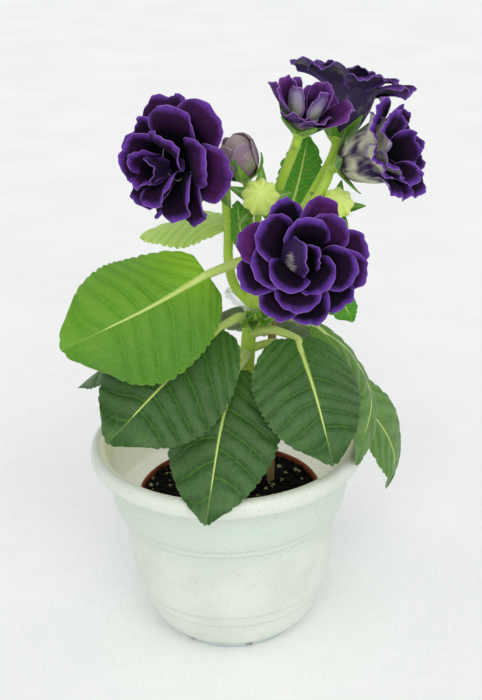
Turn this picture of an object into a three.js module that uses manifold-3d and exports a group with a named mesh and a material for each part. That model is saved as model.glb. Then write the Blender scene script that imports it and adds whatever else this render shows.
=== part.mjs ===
// A double gloxinia (Sinningia speciosa) in its nursery pot, which stands in a white plastic cachepot.
// Millimetres, +Z up. The ground is Z = 0 and both pots turn round the Z axis.
import * as THREE from 'three';
import { mergeVertices } from 'three/addons/utils/BufferGeometryUtils.js';
import Module from 'manifold-3d';

const wasm = await Module();
wasm.setup();

// ---------------------------------------------------------------- driving dimensions
const GAP = 0.3;                 // clearance between neighbouring pieces
const BLADE = 0.7;               // thickness of a leaf blade
const PETAL = 0.6;               // thickness of a petal
const POT_SIDES = 22;

const POT_RIM = 68;              // outer radius of the cachepot's rolled rim
const POT_HEIGHT = 103;
const POT_FLOOR = 5.6;           // height of the cachepot's inner floor
const PAD_RADIUS = 9;            // small pad under the middle of the cachepot
const FOOT_INNER = 30.6;         // ring that the cachepot stands on
const FOOT_OUTER = 33.8;
const FOOT_NOTCHES = 7;
const FOOT_NOTCH_WIDTH = 3;
const FOOT_NOTCH_HEIGHT = 1.8;
const FOOT_NOTCH_TURN = 11;      // degrees from the front to the first notch

const NURSERY_RIM = 45.6;        // the usual 9 cm nursery pot
const NURSERY_HEIGHT = 67.1;
const NURSERY_WALL = 0.9;
const NURSERY_BASE = 30.4;

const SOIL_TOP = 71.2;
const SOIL_RADIUS = 42.6;
const SOIL_NECK = [42.2, 65.4];  // radius and height of the soil where the collar ends
const STEM_RADIUS = 4.1;
const STALK_RADIUS = 2.1;
const HOLE_DEPTH = 16.7;         // how deep the stem stands in the soil

const STAKE_WIDTH = 4;
const STAKE_THICKNESS = 2.6;
const STAKE_FOOT = [19.5, 10.8, 22];
const STAKE_HEAD = [24, 5, 163];

// ---------------------------------------------------------------- colours
const plastic = (color, roughness) => new THREE.MeshStandardMaterial({ color, roughness, metalness: 0 });
const WHITE_PLASTIC = plastic(0xe6ece2, 0.45);
const TERRACOTTA_PLASTIC = plastic(0xa4552f, 0.6);
const SOIL = plastic(0x1d1512, 0.95);
const WOOD = plastic(0xc9a878, 0.7);
const CLEAR_FILM = plastic(0xe8eeea, 0.2);
const STEM_GREEN = plastic(0x7fa532, 0.55);
const LEAF_BRIGHT = plastic(0x6aa02c, 0.6);
const LEAF_DARK = plastic(0x2f6a2c, 0.6);
const BUD_GREEN = plastic(0xb4d860, 0.55);
const BUD_MAUVE = plastic(0x9a7f8c, 0.6);
const VIOLET = plastic(0x35134f, 0.75);
const MAUVE = plastic(0x7a3f93, 0.75);

// ---------------------------------------------------------------- solids
const vec = (p) => new THREE.Vector3(...p);
const unit = (p) => vec(p).normalize();
const spine = (points) => new THREE.CatmullRomCurve3(points.map(vec), false, 'catmullrom', 0.5);
const radians = THREE.MathUtils.degToRad;

// A repeatable draw between 0 and 1.
function draw(index, seed) {
  const value = Math.sin(index * 12.9898 + seed * 78.233) * 43758.5453;
  return value - Math.floor(value);
}

function solid(geometry) {
  const bare = geometry.clone();
  bare.deleteAttribute('normal');
  bare.deleteAttribute('uv');
  const merged = mergeVertices(bare, 1e-4);
  const corners = merged.getAttribute('position');
  const source = merged.getIndex().array;
  const a = new THREE.Vector3();
  const b = new THREE.Vector3();
  const c = new THREE.Vector3();
  const faces = [];
  let volume = 0;
  for (let i = 0; i < source.length; i += 3) {
    const [p, q, r] = source.slice(i, i + 3);
    if (p === q || q === r || r === p) continue;
    faces.push(p, q, r);
    a.fromBufferAttribute(corners, p);
    b.fromBufferAttribute(corners, q);
    c.fromBufferAttribute(corners, r);
    volume += a.dot(b.cross(c));
  }
  if (volume < 0) faces.reverse();
  return new wasm.Manifold(new wasm.Mesh({
    numProp: 3,
    vertProperties: Float32Array.from(corners.array),
    triVerts: Uint32Array.from(faces),
  }));
}

function closed(points, faces) {
  const geometry = new THREE.BufferGeometry();
  const corners = points.flatMap((p) => p.toArray());
  geometry.setAttribute('position', new THREE.Float32BufferAttribute(corners, 3));
  geometry.setIndex(faces);
  return solid(geometry);
}

const fuse = (solids) => solids.reduce((whole, piece) => whole.add(piece));

// The largest body of a solid, without the slivers along its cuts, so that a cut leaves no scraps.
const SLIVER = 0.01;

function largest(body) {
  const pieces = body.decompose();
  return pieces.reduce((best, piece) => (piece.volume() > best.volume() ? piece : best)).simplify(SLIVER);
}

// A body turned round Z from [radius, height] points that start and end on the axis.
function turned(profile, sides) {
  const points = profile.map(([radius, height]) => new THREE.Vector2(radius, height));
  return solid(new THREE.LatheGeometry(points, sides).rotateX(Math.PI / 2));
}

// A skin over rings of points, each with the same number of corners, closed by a fan at both ends.
function skin(rings) {
  const sides = rings[0].length;
  const points = rings.flat();
  const faces = [];
  for (let ring = 0; ring + 1 < rings.length; ring += 1) {
    for (let j = 0; j < sides; j += 1) {
      const a = ring * sides + j;
      const b = ring * sides + ((j + 1) % sides);
      faces.push(a, b, b + sides, a, b + sides, a + sides);
    }
  }
  const middle = (ring) => ring.reduce((sum, p) => sum.add(p), new THREE.Vector3()).divideScalar(sides);
  const first = points.push(middle(rings[0])) - 1;
  const last = points.push(middle(rings[rings.length - 1])) - 1;
  const end = (rings.length - 1) * sides;
  for (let j = 0; j < sides; j += 1) {
    const next = (j + 1) % sides;
    faces.push(first, next, j, last, end + j, end + next);
  }
  return closed(points, faces);
}

// The stations of a path, each with its point, its direction and a radius.
function stations(path, radius, steps) {
  const curve = spine(path);
  return Array.from({ length: steps + 1 }, (_, i) => (
    { point: curve.getPoint(i / steps), heading: curve.getTangent(i / steps), radius: radius(i / steps) }
  ));
}

// A round pipe through stations. Its corners are carried along without a twist.
function pipe(route, sides) {
  const across = new THREE.Vector3(1, 0.3, 0.2);
  return skin(route.map(({ point, heading, radius }) => {
    across.addScaledVector(heading, -across.dot(heading)).normalize();
    const above = across.clone().cross(heading);
    return Array.from({ length: sides }, (_, j) => {
      const turn = (2 * Math.PI * j) / sides;
      return point.clone()
        .addScaledVector(across, radius * Math.cos(turn))
        .addScaledVector(above, radius * Math.sin(turn));
    });
  }));
}

// A thin blade of even thickness over surface(s, v), with s from its root to its tip and v from -1 to 1
// across it. Both faces are split alike. A tooth stands out from the margin by reach, a share of the
// blade's half width, and leans towards the tip by lean rows.
function blade(surface, rows, columns, thickness, tooth = null) {
  const points = [];
  const step = 1e-3;
  const lay = (s, v) => {
    const here = surface(s, v);
    const along = surface(Math.min(s + step, 1), v).sub(surface(Math.max(s - step, 0), v));
    const across = surface(s, v + step).sub(surface(s, v - step));
    const normal = along.cross(across).normalize().multiplyScalar(thickness / 2);
    points.push(here.clone().add(normal), here.clone().sub(normal));
    return points.length - 2;
  };
  const grid = [];
  for (let i = 0; i <= rows; i += 1) {
    const row = [];
    for (let j = 0; j <= columns; j += 1) row.push(lay(i / rows, (2 * j) / columns - 1));
    grid.push(row);
  }
  const faces = [];
  const both = (a, b, c) => faces.push(a, b, c, a + 1, c + 1, b + 1);
  for (let i = 0; i < rows; i += 1) {
    for (let j = 0; j < columns; j += 1) {
      both(grid[i][j], grid[i][j + 1], grid[i + 1][j + 1]);
      both(grid[i][j], grid[i + 1][j + 1], grid[i + 1][j]);
    }
  }
  const wall = (p, q) => faces.push(q, p, p + 1, q, p + 1, q + 1);
  const margin = (p, q, s, side) => {
    if (!tooth) {
      wall(p, q);
      return;
    }
    const tip = lay(s + tooth.lean / rows, side * (1 + tooth.reach));
    both(q, p, tip);
    wall(p, tip);
    wall(tip, q);
  };
  for (let j = 0; j < columns; j += 1) {
    wall(grid[0][j], grid[0][j + 1]);
    wall(grid[rows][j + 1], grid[rows][j]);
  }
  for (let i = 0; i < rows; i += 1) {
    margin(grid[i][columns], grid[i + 1][columns], (i + 0.5) / rows, 1);
    margin(grid[i + 1][0], grid[i][0], (i + 0.5) / rows, -1);
  }
  return closed(points, faces);
}

// ---------------------------------------------------------------- assembly
// Pieces are grown in order. Each one is cut clear of its listed neighbours, which are given a skin
// of GAP for the purpose.
const plant = new THREE.Group();
const grown = new Map();

function place(name, body, material) {
  const mesh = body.getMesh();
  const geometry = new THREE.BufferGeometry();
  geometry.setAttribute('position', new THREE.BufferAttribute(mesh.vertProperties, 3));
  geometry.setIndex(new THREE.BufferAttribute(mesh.triVerts, 1));
  geometry.computeVertexNormals();
  const piece = new THREE.Mesh(geometry, material);
  piece.name = name;
  plant.add(piece);
}

function boxesMeet(one, two) {
  const a = one.boundingBox();
  const b = two.boundingBox();
  return [0, 1, 2].every((k) => a.min[k] < b.max[k] && b.min[k] < a.max[k]);
}

// make(clear) returns the piece's body, swollen by clear on every side.
function grow(name, make, material) {
  let body = make(0);
  for (const other of grown.values()) {
    if (boxesMeet(body, other)) body = body.subtract(other);
  }
  grown.set(name, make(GAP));
  place(name, largest(body), material);
}

// ---------------------------------------------------------------- cachepot
// White plastic, moulded in one piece with two raised bands and a rolled rim.
const POT_PROFILE = [
  [0, 0], [PAD_RADIUS, 0], [PAD_RADIUS + 0.6, 3], [FOOT_INNER - 0.6, 3], [FOOT_INNER, 0],
  [FOOT_OUTER, 0], [34.6, 4.4], [41.8, 9.5], [45.4, 18], [47.7, 24.5], [49.2, 30],
  [53.8, 63], [56.2, 69], [58.4, 75], [60.2, 91.5], [66, 94], [POT_RIM, 98.5], [65.4, POT_HEIGHT],
  [61.8, 102.6], [57.2, 90], [56, 72], [51.6, 61], [47.4, 33],
  [41.2, 15], [34, 7], [31.8, POT_FLOOR], [0, POT_FLOOR],
];

function cachepot() {
  let pot = turned(POT_PROFILE, POT_SIDES);
  for (let i = 0; i < FOOT_NOTCHES; i += 1) {
    const turn = radians(FOOT_NOTCH_TURN + (360 * i) / FOOT_NOTCHES);
    const notch = new THREE.BoxGeometry(FOOT_NOTCH_WIDTH, 8, 2 * FOOT_NOTCH_HEIGHT)
      .translate(0, -(FOOT_INNER + FOOT_OUTER) / 2, 0)
      .rotateZ(turn);
    pot = pot.subtract(solid(notch));
  }
  return pot;
}
place('cachepot', cachepot(), WHITE_PLASTIC);

// ---------------------------------------------------------------- nursery pot
// Thin terracotta-coloured plastic, with a plain collar at its rim. It stands on the cachepot's floor.
const NURSERY_FLOOR = POT_FLOOR + GAP;
const NURSERY_TOP = NURSERY_FLOOR + NURSERY_HEIGHT;
const COLLAR_HEIGHT = 6.6;
const NURSERY_NECK = 43.4;

const NURSERY_PROFILE = [
  [0, NURSERY_FLOOR], [NURSERY_BASE, NURSERY_FLOOR],
  [NURSERY_NECK, NURSERY_TOP - COLLAR_HEIGHT], [NURSERY_RIM, NURSERY_TOP - COLLAR_HEIGHT],
  [NURSERY_RIM, NURSERY_TOP], [NURSERY_RIM - 1.6, NURSERY_TOP],
  [NURSERY_NECK - 0.2, NURSERY_TOP - COLLAR_HEIGHT - 0.4],
  [NURSERY_BASE - NURSERY_WALL, NURSERY_FLOOR + 1.4], [0, NURSERY_FLOOR + 1.4],
];
place('nursery_pot', turned(NURSERY_PROFILE, 20), TERRACOTTA_PLASTIC);

// ---------------------------------------------------------------- stem, stake and soil
const STEM_PATH = [
  [4, 1, SOIL_TOP - HOLE_DEPTH], [8, 1, 98], [10.9, 0, 138], [13, 0, 161], [15, 0, 180], [17, 1, 197],
];

function stem(clear) {
  return pipe(stations(STEM_PATH, (t) => STEM_RADIUS * (1 - 0.3 * t) + clear, 6), 7);
}
grow('stem', stem, STEM_GREEN);

function stake(clear) {
  const head = vec(STAKE_HEAD);
  const foot = vec(STAKE_FOOT);
  const rise = head.clone().sub(foot);
  const size = [STAKE_WIDTH, STAKE_THICKNESS, rise.length()].map((edge) => edge + 2 * clear);
  const upright = new THREE.Vector3(0, 0, 1);
  const bar = new THREE.BoxGeometry(...size);
  bar.applyQuaternion(new THREE.Quaternion().setFromUnitVectors(upright, rise.normalize()));
  bar.translate(...head.add(foot).divideScalar(2).toArray());
  return solid(bar);
}
grow('stake', stake, WOOD);

// Crumbly peat that fills the nursery pot to just under its collar.
function soil() {
  const radii = [9, 18, 27, 35, SOIL_RADIUS];
  const sectors = 12;
  const ringAt = (radius, height) => Array.from({ length: sectors }, (_, j) => {
    const turn = (2 * Math.PI * j) / sectors;
    return new THREE.Vector3(radius * Math.cos(turn), radius * Math.sin(turn), height(j));
  });
  const rings = radii.map((radius, i) => ringAt(radius, (j) => (
    i === radii.length - 1 ? SOIL_TOP - 0.6 : SOIL_TOP - 1.2 + 2.4 * draw(i * sectors + j, 3)
  )));
  const bottom = NURSERY_FLOOR + 1.4 + GAP;
  rings.push(ringAt(SOIL_NECK[0], () => SOIL_NECK[1]));
  rings.push(ringAt(NURSERY_BASE - NURSERY_WALL - GAP - 0.4, () => bottom));
  return skin(rings);
}
grow('soil', () => soil(), SOIL);

// ---------------------------------------------------------------- leaves
// A leaf's rib runs through its points, and face is the way that its upper side looks. The blade is
// widest near its lower third, folds a little along the rib and hangs at its margins. Its round tip
// stands out past the rib's end.
const RIPPLE = 0.9;
const TOOTH_LENGTH = 1.9;
const TOOTH_LEAN = 0.25;
const TIP_BULGE = 0.8;

function leafSurface({
  rib, face, width, blunt = 0.55, peak = 0.88, fold = 0.1, droop = 0.35, phase = 0,
}) {
  const curve = spine(rib);
  const upward = unit(face);
  const halfAt = (s) => 0.5 + (width / 2) * Math.sin(Math.PI * (0.02 + 0.96 * s) ** peak) ** blunt;
  const bulge = TIP_BULGE * halfAt(1);
  return (s, v) => {
    const tangent = curve.getTangent(s);
    const across = tangent.clone().cross(upward).normalize();
    const normal = across.clone().cross(tangent);
    const x = v * halfAt(s);
    const reach = bulge * (1 - v * v) * THREE.MathUtils.smoothstep(s, 0.86, 1);
    const lift = fold * Math.abs(x) - (droop * x * x) / (width / 2)
      + RIPPLE * v * v * Math.sin(2 * Math.PI * (1.6 * s + phase) + 1.3 * Math.sign(v));
    return curve.getPoint(s)
      .addScaledVector(across, x)
      .addScaledVector(tangent, reach)
      .addScaledVector(normal, lift);
  };
}

function leaf({ petiole, thick = 2.1, teeth = 10, columns = 4, ...shape }) {
  return (clear) => {
    const tooth = { lean: TOOTH_LEAN, reach: TOOTH_LENGTH / (shape.width / 2) };
    const surface = leafSurface({ ...shape, width: shape.width + 2 * clear });
    const rib = spine(shape.rib);
    const path = [...petiole, shape.rib[0], rib.getPoint(0.06).toArray()];
    return fuse([
      blade(surface, teeth, columns, BLADE + 2 * clear, tooth),
      pipe(stations(path, (t) => thick * (1 - 0.45 * t) + clear, 4), 5),
    ]);
  };
}

const LEAVES = {
  leaf_left_upper: {
    petiole: [[14, 0, 192], [9.3, -6, 195.8]],
    rib: [[-6, -15.5, 193.8], [-32, -30, 184.8], [-59.5, -40.5, 175.8]],
    face: [0.0, -0.72, 0.72], width: 62, blunt: 0.27, peak: 1.35, thick: 2.8, color: LEAF_BRIGHT,
  },
  leaf_left_lower: {
    petiole: [[12, -1, 163], [8, -7, 168.5]],
    rib: [[-1, -16, 167.5], [-26.6, -38.5, 151.5], [-47.6, -54, 136]],
    face: [-0.1, -0.66, 0.75], width: 57, blunt: 0.4, peak: 1.08, droop: 0.24, thick: 2.6,
    color: LEAF_DARK, phase: 0.3,
  },
  leaf_front: {
    petiole: [[11, 0, 147], [9.5, -14, 150.5]],
    rib: [[6, -24, 149.5], [-2.5, -46, 131.6], [-10.5, -71, 100]],
    face: [-0.2, -0.75, 0.62], width: 51.5, blunt: 0.62, peak: 1, thick: 2.4, color: LEAF_DARK,
    phase: 0.6,
  },
  leaf_right_front: {
    petiole: [[13, 0, 157], [23, -12, 163.5]],
    rib: [[34, -21, 162.5], [40.3, -45, 145.5], [45.8, -58, 122.5]],
    face: [0.3, -0.62, 0.72], width: 51, blunt: 0.44, peak: 0.84, thick: 2.4, color: LEAF_DARK,
    phase: 0.1,
  },
  leaf_right_side: {
    petiole: [[14, 0, 172], [28, 0, 168]],
    rib: [[42, -1, 161], [60, -4, 147], [70, -10, 124], [61, -33, 105]],
    face: [0.9, -0.1, 0.42], width: 36, thick: 2.5, color: LEAF_DARK, phase: 0.45,
  },
  leaf_right_hanging: {
    petiole: [[12, 0, 149], [25, -0.5, 152], [39, 3, 145]],
    rib: [[52, 10, 130], [75.5, 12, 102], [85, 14, 80], [82.5, 15, 64]],
    face: [0.9, -0.35, 0.25], width: 41, droop: 0.1, teeth: 8, columns: 2, color: LEAF_DARK, phase: 0.8,
  },
  leaf_left_back: {
    petiole: [[13, 2, 187], [11, 9, 202]],
    rib: [[7, 14, 208], [-14, 25, 206], [-36, 35, 197]],
    face: [0.0, -0.25, 1], width: 30, thick: 1.8, teeth: 8, columns: 2, color: LEAF_BRIGHT, phase: 0.2,
  },
  leaf_back: {
    petiole: [[11, 1, 152], [13, 18, 158]],
    rib: [[16, 32, 157], [20, 56, 147], [22, 82, 122]],
    face: [0.05, 0.5, 0.86], width: 50, teeth: 8, columns: 2, color: LEAF_DARK, phase: 0.7,
  },
  leaf_back_left: {
    petiole: [[11, 1, 142], [0, 12, 152]],
    rib: [[-14, 20, 153], [-43, 30, 142], [-68, 36, 121]],
    face: [-0.35, 0.2, 0.9], width: 50, blunt: 0.28, teeth: 8, columns: 2, color: LEAF_DARK, phase: 0.55,
  },
  leaf_back_right: {
    petiole: [[13, 1, 160], [24, 21, 158]],
    rib: [[36, 32, 150], [47, 46, 136], [54, 58, 106]],
    face: [0.6, 0.5, 0.6], width: 38, teeth: 8, columns: 2, color: LEAF_DARK, phase: 0.25,
  },
  leaflet_upper: {
    petiole: [[15, 1, 192], [24, 12, 203]],
    rib: [[35, 22, 211], [40, 28, 226], [44, 32, 242]],
    face: [-0.1, -0.95, 0.2], width: 19.4, thick: 1.4, teeth: 6, columns: 2, color: LEAF_BRIGHT, droop: 0.2,
  },
  leaflet_right: {
    petiole: [[14, 1, 182], [33, 10.5, 182.5]],
    rib: [[49, 12, 178], [56, 9, 171], [62, 5, 161]],
    face: [0.3, -0.6, 0.7], width: 19, thick: 1.4, teeth: 6, columns: 2, color: LEAF_BRIGHT,
  },
  leaflet_left: {
    petiole: [[15, -1, 186], [13.8, -1, 193]],
    rib: [[12, -1, 198], [10.1, -1, 210], [9.2, 0, 222]],
    face: [-0.5, -0.8, 0.2], width: 9, thick: 1.1, teeth: 6, columns: 2, color: LEAF_BRIGHT, droop: 0.1,
  },
};

// ---------------------------------------------------------------- blooms
// A bloom has a frame of its own: its axis points out of the face, and clock angles start at up and
// run clockwise as a viewer in front of it sees them. bend is how far its tube turns aside at the mouth.
function bloomFrame({ foot, axis, up = [0, 0, 1], bend = [0, 0, 0] }) {
  const out = unit(axis);
  const high = vec(up).addScaledVector(out, -vec(up).dot(out)).normalize();
  return { foot: vec(foot), out, high, right: high.clone().cross(out), bend: vec(bend) };
}

// The direction square to a bloom's axis at a clock angle.
function atClock({ high, right }, clock) {
  const turn = radians(clock);
  return high.clone().multiplyScalar(Math.cos(turn)).addScaledVector(right, Math.sin(turn));
}

// The direction back over the face of a petal or sepal that leans away from the axis by angle.
function backOver(frame, away, angle) {
  return frame.out.clone().multiplyScalar(Math.sin(angle)).addScaledVector(away, -Math.cos(angle));
}

// A petal leaves the throat at radius start and height rise, and bends from angle lean[0] to lean[1]
// away from the axis over its length. It is cupped across, waved at its rim and turned by roll, so
// that each petal lies over one neighbour and under the other. shift is how far right and high of the
// axis its whorl stands.
const ROUNDING = 0.24;
const CLAW = 0.34;

function petalSurface(frame, petal) {
  const away = atClock(frame, petal.clock);
  const side = frame.out.clone().cross(away);
  const [leanStart, leanEnd] = petal.lean.map(radians);
  const bend = (leanEnd - leanStart) / petal.length;
  const roll = radians(petal.roll);
  const root = frame.foot.clone()
    .add(frame.bend)
    .addScaledVector(frame.right, petal.shift[0])
    .addScaledVector(frame.high, petal.shift[1]);
  return (s, v) => {
    const along = s * petal.length * (1 - ROUNDING * Math.abs(v) ** 2.5);
    const angle = leanStart + bend * along;
    const radius = petal.start + (Math.cos(leanStart) - Math.cos(angle)) / bend;
    const height = petal.rise + (Math.sin(angle) - Math.sin(leanStart)) / bend;
    const inward = backOver(frame, away, angle);
    const spread = Math.sin((Math.PI / 2) * Math.min(1, s / 0.7));
    const half = (petal.width / 2) * (CLAW + (1 - CLAW) * spread);
    const curl = petal.cup / (petal.width / 2);
    const x = Math.sin(curl * v * half) / curl;
    const y = (1 - Math.cos(curl * v * half)) / curl
      + petal.ruffle * s * s * Math.sin(Math.PI * petal.waves * v + petal.phase);
    return root.clone()
      .addScaledVector(away, radius)
      .addScaledVector(frame.out, height)
      .addScaledVector(side, x * Math.cos(roll) - y * Math.sin(roll))
      .addScaledVector(inward, x * Math.sin(roll) + y * Math.cos(roll));
  };
}

// The petals of a bloom, whorl by whorl, with small repeatable differences between them. The outer ones
// show whole, so they are split into more columns.
function petalsOf({ whorls, seed }) {
  return whorls.flatMap((whorl, w) => whorl.clocks.map((clock, i) => {
    const vary = (k) => draw(7 * i + k, seed + w) - 0.5;
    return {
      shift: [0, 0],
      columns: w === 0 || whorl.clocks.length > 6 ? 3 : 2,
      ...whorl,
      clock,
      length: whorl.length * (1 + 0.08 * vary(1)),
      width: whorl.width * (1 + 0.12 * vary(2)),
      lean: [whorl.lean[0], whorl.lean[1] + 5 * vary(3)],
      waves: 1.6 + vary(5),
      phase: 6.3 * (vary(6) + 0.5),
      roll: 10,
    };
  }));
}

// The corolla tube flares from the calyx, and the petals stand in its filled mouth.
const TUBE_SIDES = 6;

function throat(frame, { tubeLength, tubeRadius, mouth = 1.2 }, clear) {
  const shape = [[0, 0.36], [0.22, 0.68], [0.6, 0.92], [0.95, 1], [mouth, 0.45]];
  return skin(shape.map(([height, radius], i) => {
    const lift = height * tubeLength + (i === 0 ? -clear : 0) + (i === shape.length - 1 ? clear : 0);
    return Array.from({ length: TUBE_SIDES }, (_, j) => {
      const turn = (2 * Math.PI * j) / TUBE_SIDES;
      return frame.foot.clone()
        .addScaledVector(frame.out, lift)
        .addScaledVector(frame.bend, THREE.MathUtils.smoothstep(height, 0, 1))
        .addScaledVector(frame.high, (radius * tubeRadius + clear) * Math.cos(turn))
        .addScaledVector(frame.right, (radius * tubeRadius + clear) * Math.sin(turn));
    });
  }));
}

function bloom(shape) {
  const frame = bloomFrame(shape);
  return (clear) => fuse([
    throat(frame, shape, clear),
    ...petalsOf(shape).map((petal) => (
      blade(petalSurface(frame, petal), 2, petal.columns, PETAL + 2 * clear)
    )),
  ]);
}

const around = (count, first) => Array.from({ length: count }, (_, i) => first + (360 * i) / count);

const BLOOMS = {
  bloom_front: {
    foot: [34, -20, 201.7], axis: [0.07, -0.94, 0.34], tubeLength: 19, tubeRadius: 10.5, seed: 11,
    color: VIOLET,
    whorls: [
      { clocks: [343, 28], start: 8.6, rise: 17, lean: [46, 92], length: 21, width: 17, cup: 0.3,
        ruffle: 1.1 },
      { clocks: [291, 84, 110, 141, 175, 211, 254], start: 8.6, rise: 17, lean: [46, 94], length: 23,
        width: 20, cup: 0.3, ruffle: 1.1 },
      { clocks: [309, 50, 112, 192, 258], start: 6.6, rise: 17.5, lean: [28, 74], length: 22, width: 21,
        cup: 0.35, ruffle: 1 },
      { clocks: [14, 148, 226], start: 4.8, rise: 17.5, lean: [12, 68], length: 19.5, width: 21, cup: 0.5,
        ruffle: 0.9 },
      { clocks: [270], start: 9.5, rise: 17.5, lean: [-8, -62], length: 20, width: 22, cup: 0.75,
        ruffle: 1 },
      { clocks: [72], start: 5, rise: 17.5, lean: [-4, 10], length: 15, width: 18, cup: 1.1, ruffle: 1 },
    ],
  },
  bloom_left: {
    foot: [-1.8, -1, 236], axis: [-0.66, -0.74, 0.12], bend: [-2.6, 5, 8.4], tubeLength: 18,
    tubeRadius: 9.5, seed: 23, color: VIOLET,
    whorls: [
      { clocks: around(6, 38), start: 8, rise: 15, lean: [50, 120], length: 24, width: 27, cup: 0.3,
        ruffle: 1.9 },
      { clocks: around(5, 10), start: 6.5, rise: 16, lean: [34, 92], length: 22.5, width: 25, cup: 0.35,
        ruffle: 1.9, shift: [-1.5, -1] },
      { clocks: around(3, 40), start: 5, rise: 17, lean: [14, 62], length: 21, width: 24, cup: 0.5,
        ruffle: 1.7, shift: [-5, -2.5] },
      { clocks: around(3, 80), start: 3.2, rise: 16.5, lean: [2, 26], length: 18.5, width: 15, cup: 0.9,
        ruffle: 1.3, shift: [-9.5, -5] },
    ],
  },
  bloom_top: {
    foot: [57, 15, 247.5], axis: [0.29, 0.26, 0.92], up: [0, 1, 0], tubeLength: 24, tubeRadius: 12,
    seed: 37, color: VIOLET,
    whorls: [
      { clocks: around(7, 20), start: 10, rise: 21.5, lean: [50, 98], length: 21.5, width: 19, cup: 0.25,
        ruffle: 1.5 },
      { clocks: around(5, 40), start: 7, rise: 22, lean: [34, 80], length: 16, width: 16, cup: 0.35,
        ruffle: 1.2 },
    ],
  },
  bloom_right: {
    foot: [58, 3, 237], axis: [0.81, -0.46, 0.37], tubeLength: 22, tubeRadius: 12.8, seed: 41,
    color: VIOLET,
    whorls: [
      { clocks: around(7, 8), start: 10.5, rise: 18.5, lean: [26, 74], length: 18, width: 19, cup: 0.3,
        ruffle: 1.5 },
      { clocks: around(5, 30), start: 7, rise: 20, lean: [20, 58], length: 16, width: 17, cup: 0.4,
        ruffle: 1.5 },
    ],
  },
  bloom_small: {
    foot: [37.8, -12, 258.5], axis: [0.26, -0.15, 0.95], up: [0, 1, 0], tubeLength: 7, tubeRadius: 6.5,
    seed: 53, color: MAUVE,
    whorls: [
      { clocks: [262, 322], start: 4.2, rise: 5, lean: [66, 16], length: 19, width: 17, cup: 0.5,
        ruffle: 1.5 },
      { clocks: [28, 98], start: 4.2, rise: 5, lean: [74, 30], length: 18.5, width: 19, cup: 0.5,
        ruffle: 1.5 },
      { clocks: [150, 207], start: 4.4, rise: 4.5, lean: [74, 34], length: 12, width: 16, cup: 0.5,
        ruffle: 1.1 },
      { clocks: [230, 148], start: 4.2, rise: 5, lean: [40, -12], length: 17.5, width: 12, cup: 0.95,
        ruffle: 0.8 },
      { clocks: [60, 290], start: 3, rise: 6, lean: [32, -2], length: 17, width: 15, cup: 0.8, ruffle: 1 },
    ],
  },
};

for (const [name, shape] of Object.entries(BLOOMS)) grow(name, bloom(shape), shape.color);

// ---------------------------------------------------------------- buds
// A closed bud is an egg of folded petals, whose edges show as ridges that wind towards its tip.
function bud(shape) {
  const frame = bloomFrame(shape);
  const { length, radius, ridges, ridge, wind } = shape;
  const sides = 2 * ridges;
  const levels = [0.03, 0.2, 0.45, 0.7, 0.9, 0.985];
  return (clear) => skin(levels.map((level) => {
    const belly = Math.sin(Math.PI * level ** 0.85) ** 0.62;
    return Array.from({ length: sides }, (_, j) => {
      const turn = (2 * Math.PI * j) / sides + wind * level;
      const reach = radius * belly * (1 + (j % 2 ? -ridge : ridge)) + clear;
      return frame.foot.clone()
        .addScaledVector(frame.out, level * length)
        .addScaledVector(frame.high, reach * Math.cos(turn))
        .addScaledVector(frame.right, reach * Math.sin(turn));
    });
  }));
}

const BUDS = {
  bud_mauve: {
    foot: [12.8, 5.5, 233.5], axis: [-0.2, -0.15, 0.96], length: 20.5, radius: 8.6, ridges: 5, ridge: 0.05,
    wind: 0.9, color: BUD_MAUVE,
  },
  bud_green: {
    foot: [19.2, -4, 224.5], axis: [0.04, -0.88, 0.47], length: 15, radius: 8.2, ridges: 9, ridge: 0.05,
    wind: 0.3, color: BUD_GREEN,
  },
  bud_green_small: {
    foot: [54.2, 1, 217.5], axis: [0.1, -0.75, 0.65], length: 13, radius: 7.2, ridges: 8, ridge: 0.05,
    wind: 0.3, color: BUD_GREEN,
  },
};
for (const [name, shape] of Object.entries(BUDS)) grow(name, bud(shape), shape.color);

// ---------------------------------------------------------------- flower stalks
// A stalk ends in a calyx: a shallow dish under the bloom's foot, with five pointed sepals.
const SEPALS = 5;
const DISH = [[-4, 0.48], [-0.3, 1]];

function sepal(frame, { cup, broad, sepalLength, flare, turn }, index, clear) {
  const away = atClock(frame, turn + (360 * index) / SEPALS);
  const side = frame.out.clone().cross(away);
  const [leanStart, leanEnd] = flare.map(radians);
  const bend = (leanEnd - leanStart) / sepalLength;
  return skin([0, 0.5, 1].map((s) => {
    const angle = leanStart + bend * s * sepalLength;
    const radius = cup - 1 + (Math.cos(leanStart) - Math.cos(angle)) / bend;
    const height = -1.2 + (Math.sin(angle) - Math.sin(leanStart)) / bend;
    const inward = backOver(frame, away, angle);
    const half = 0.3 + broad * (1 - s) ** 0.8 * (1 + 0.5 * Math.sin(Math.PI * s)) + clear;
    const middle = frame.foot.clone().addScaledVector(away, radius).addScaledVector(frame.out, height);
    const point = (x, y) => middle.clone().addScaledVector(side, x).addScaledVector(inward, y);
    return [point(-half, 0.4 + clear), point(half, 0.4 + clear), point(0, -0.6 - clear)];
  }));
}

function stalk({ path, cup, thick = STALK_RADIUS, ...shape }, flower) {
  const frame = bloomFrame(flower);
  const dish = (clear) => DISH.map(([height, radius]) => ({
    point: frame.foot.clone().addScaledVector(frame.out, height + clear),
    heading: frame.out,
    radius: radius * cup + clear,
  }));
  const below = frame.foot.clone().addScaledVector(frame.out, -7).toArray();
  return (clear) => fuse([
    pipe([...stations([...path, below], (t) => thick * (1.12 - 0.12 * t) + clear, 5), ...dish(clear)], 6),
    ...Array.from({ length: SEPALS }, (_, i) => sepal(frame, { cup, ...shape }, i, clear)),
  ]);
}

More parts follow.
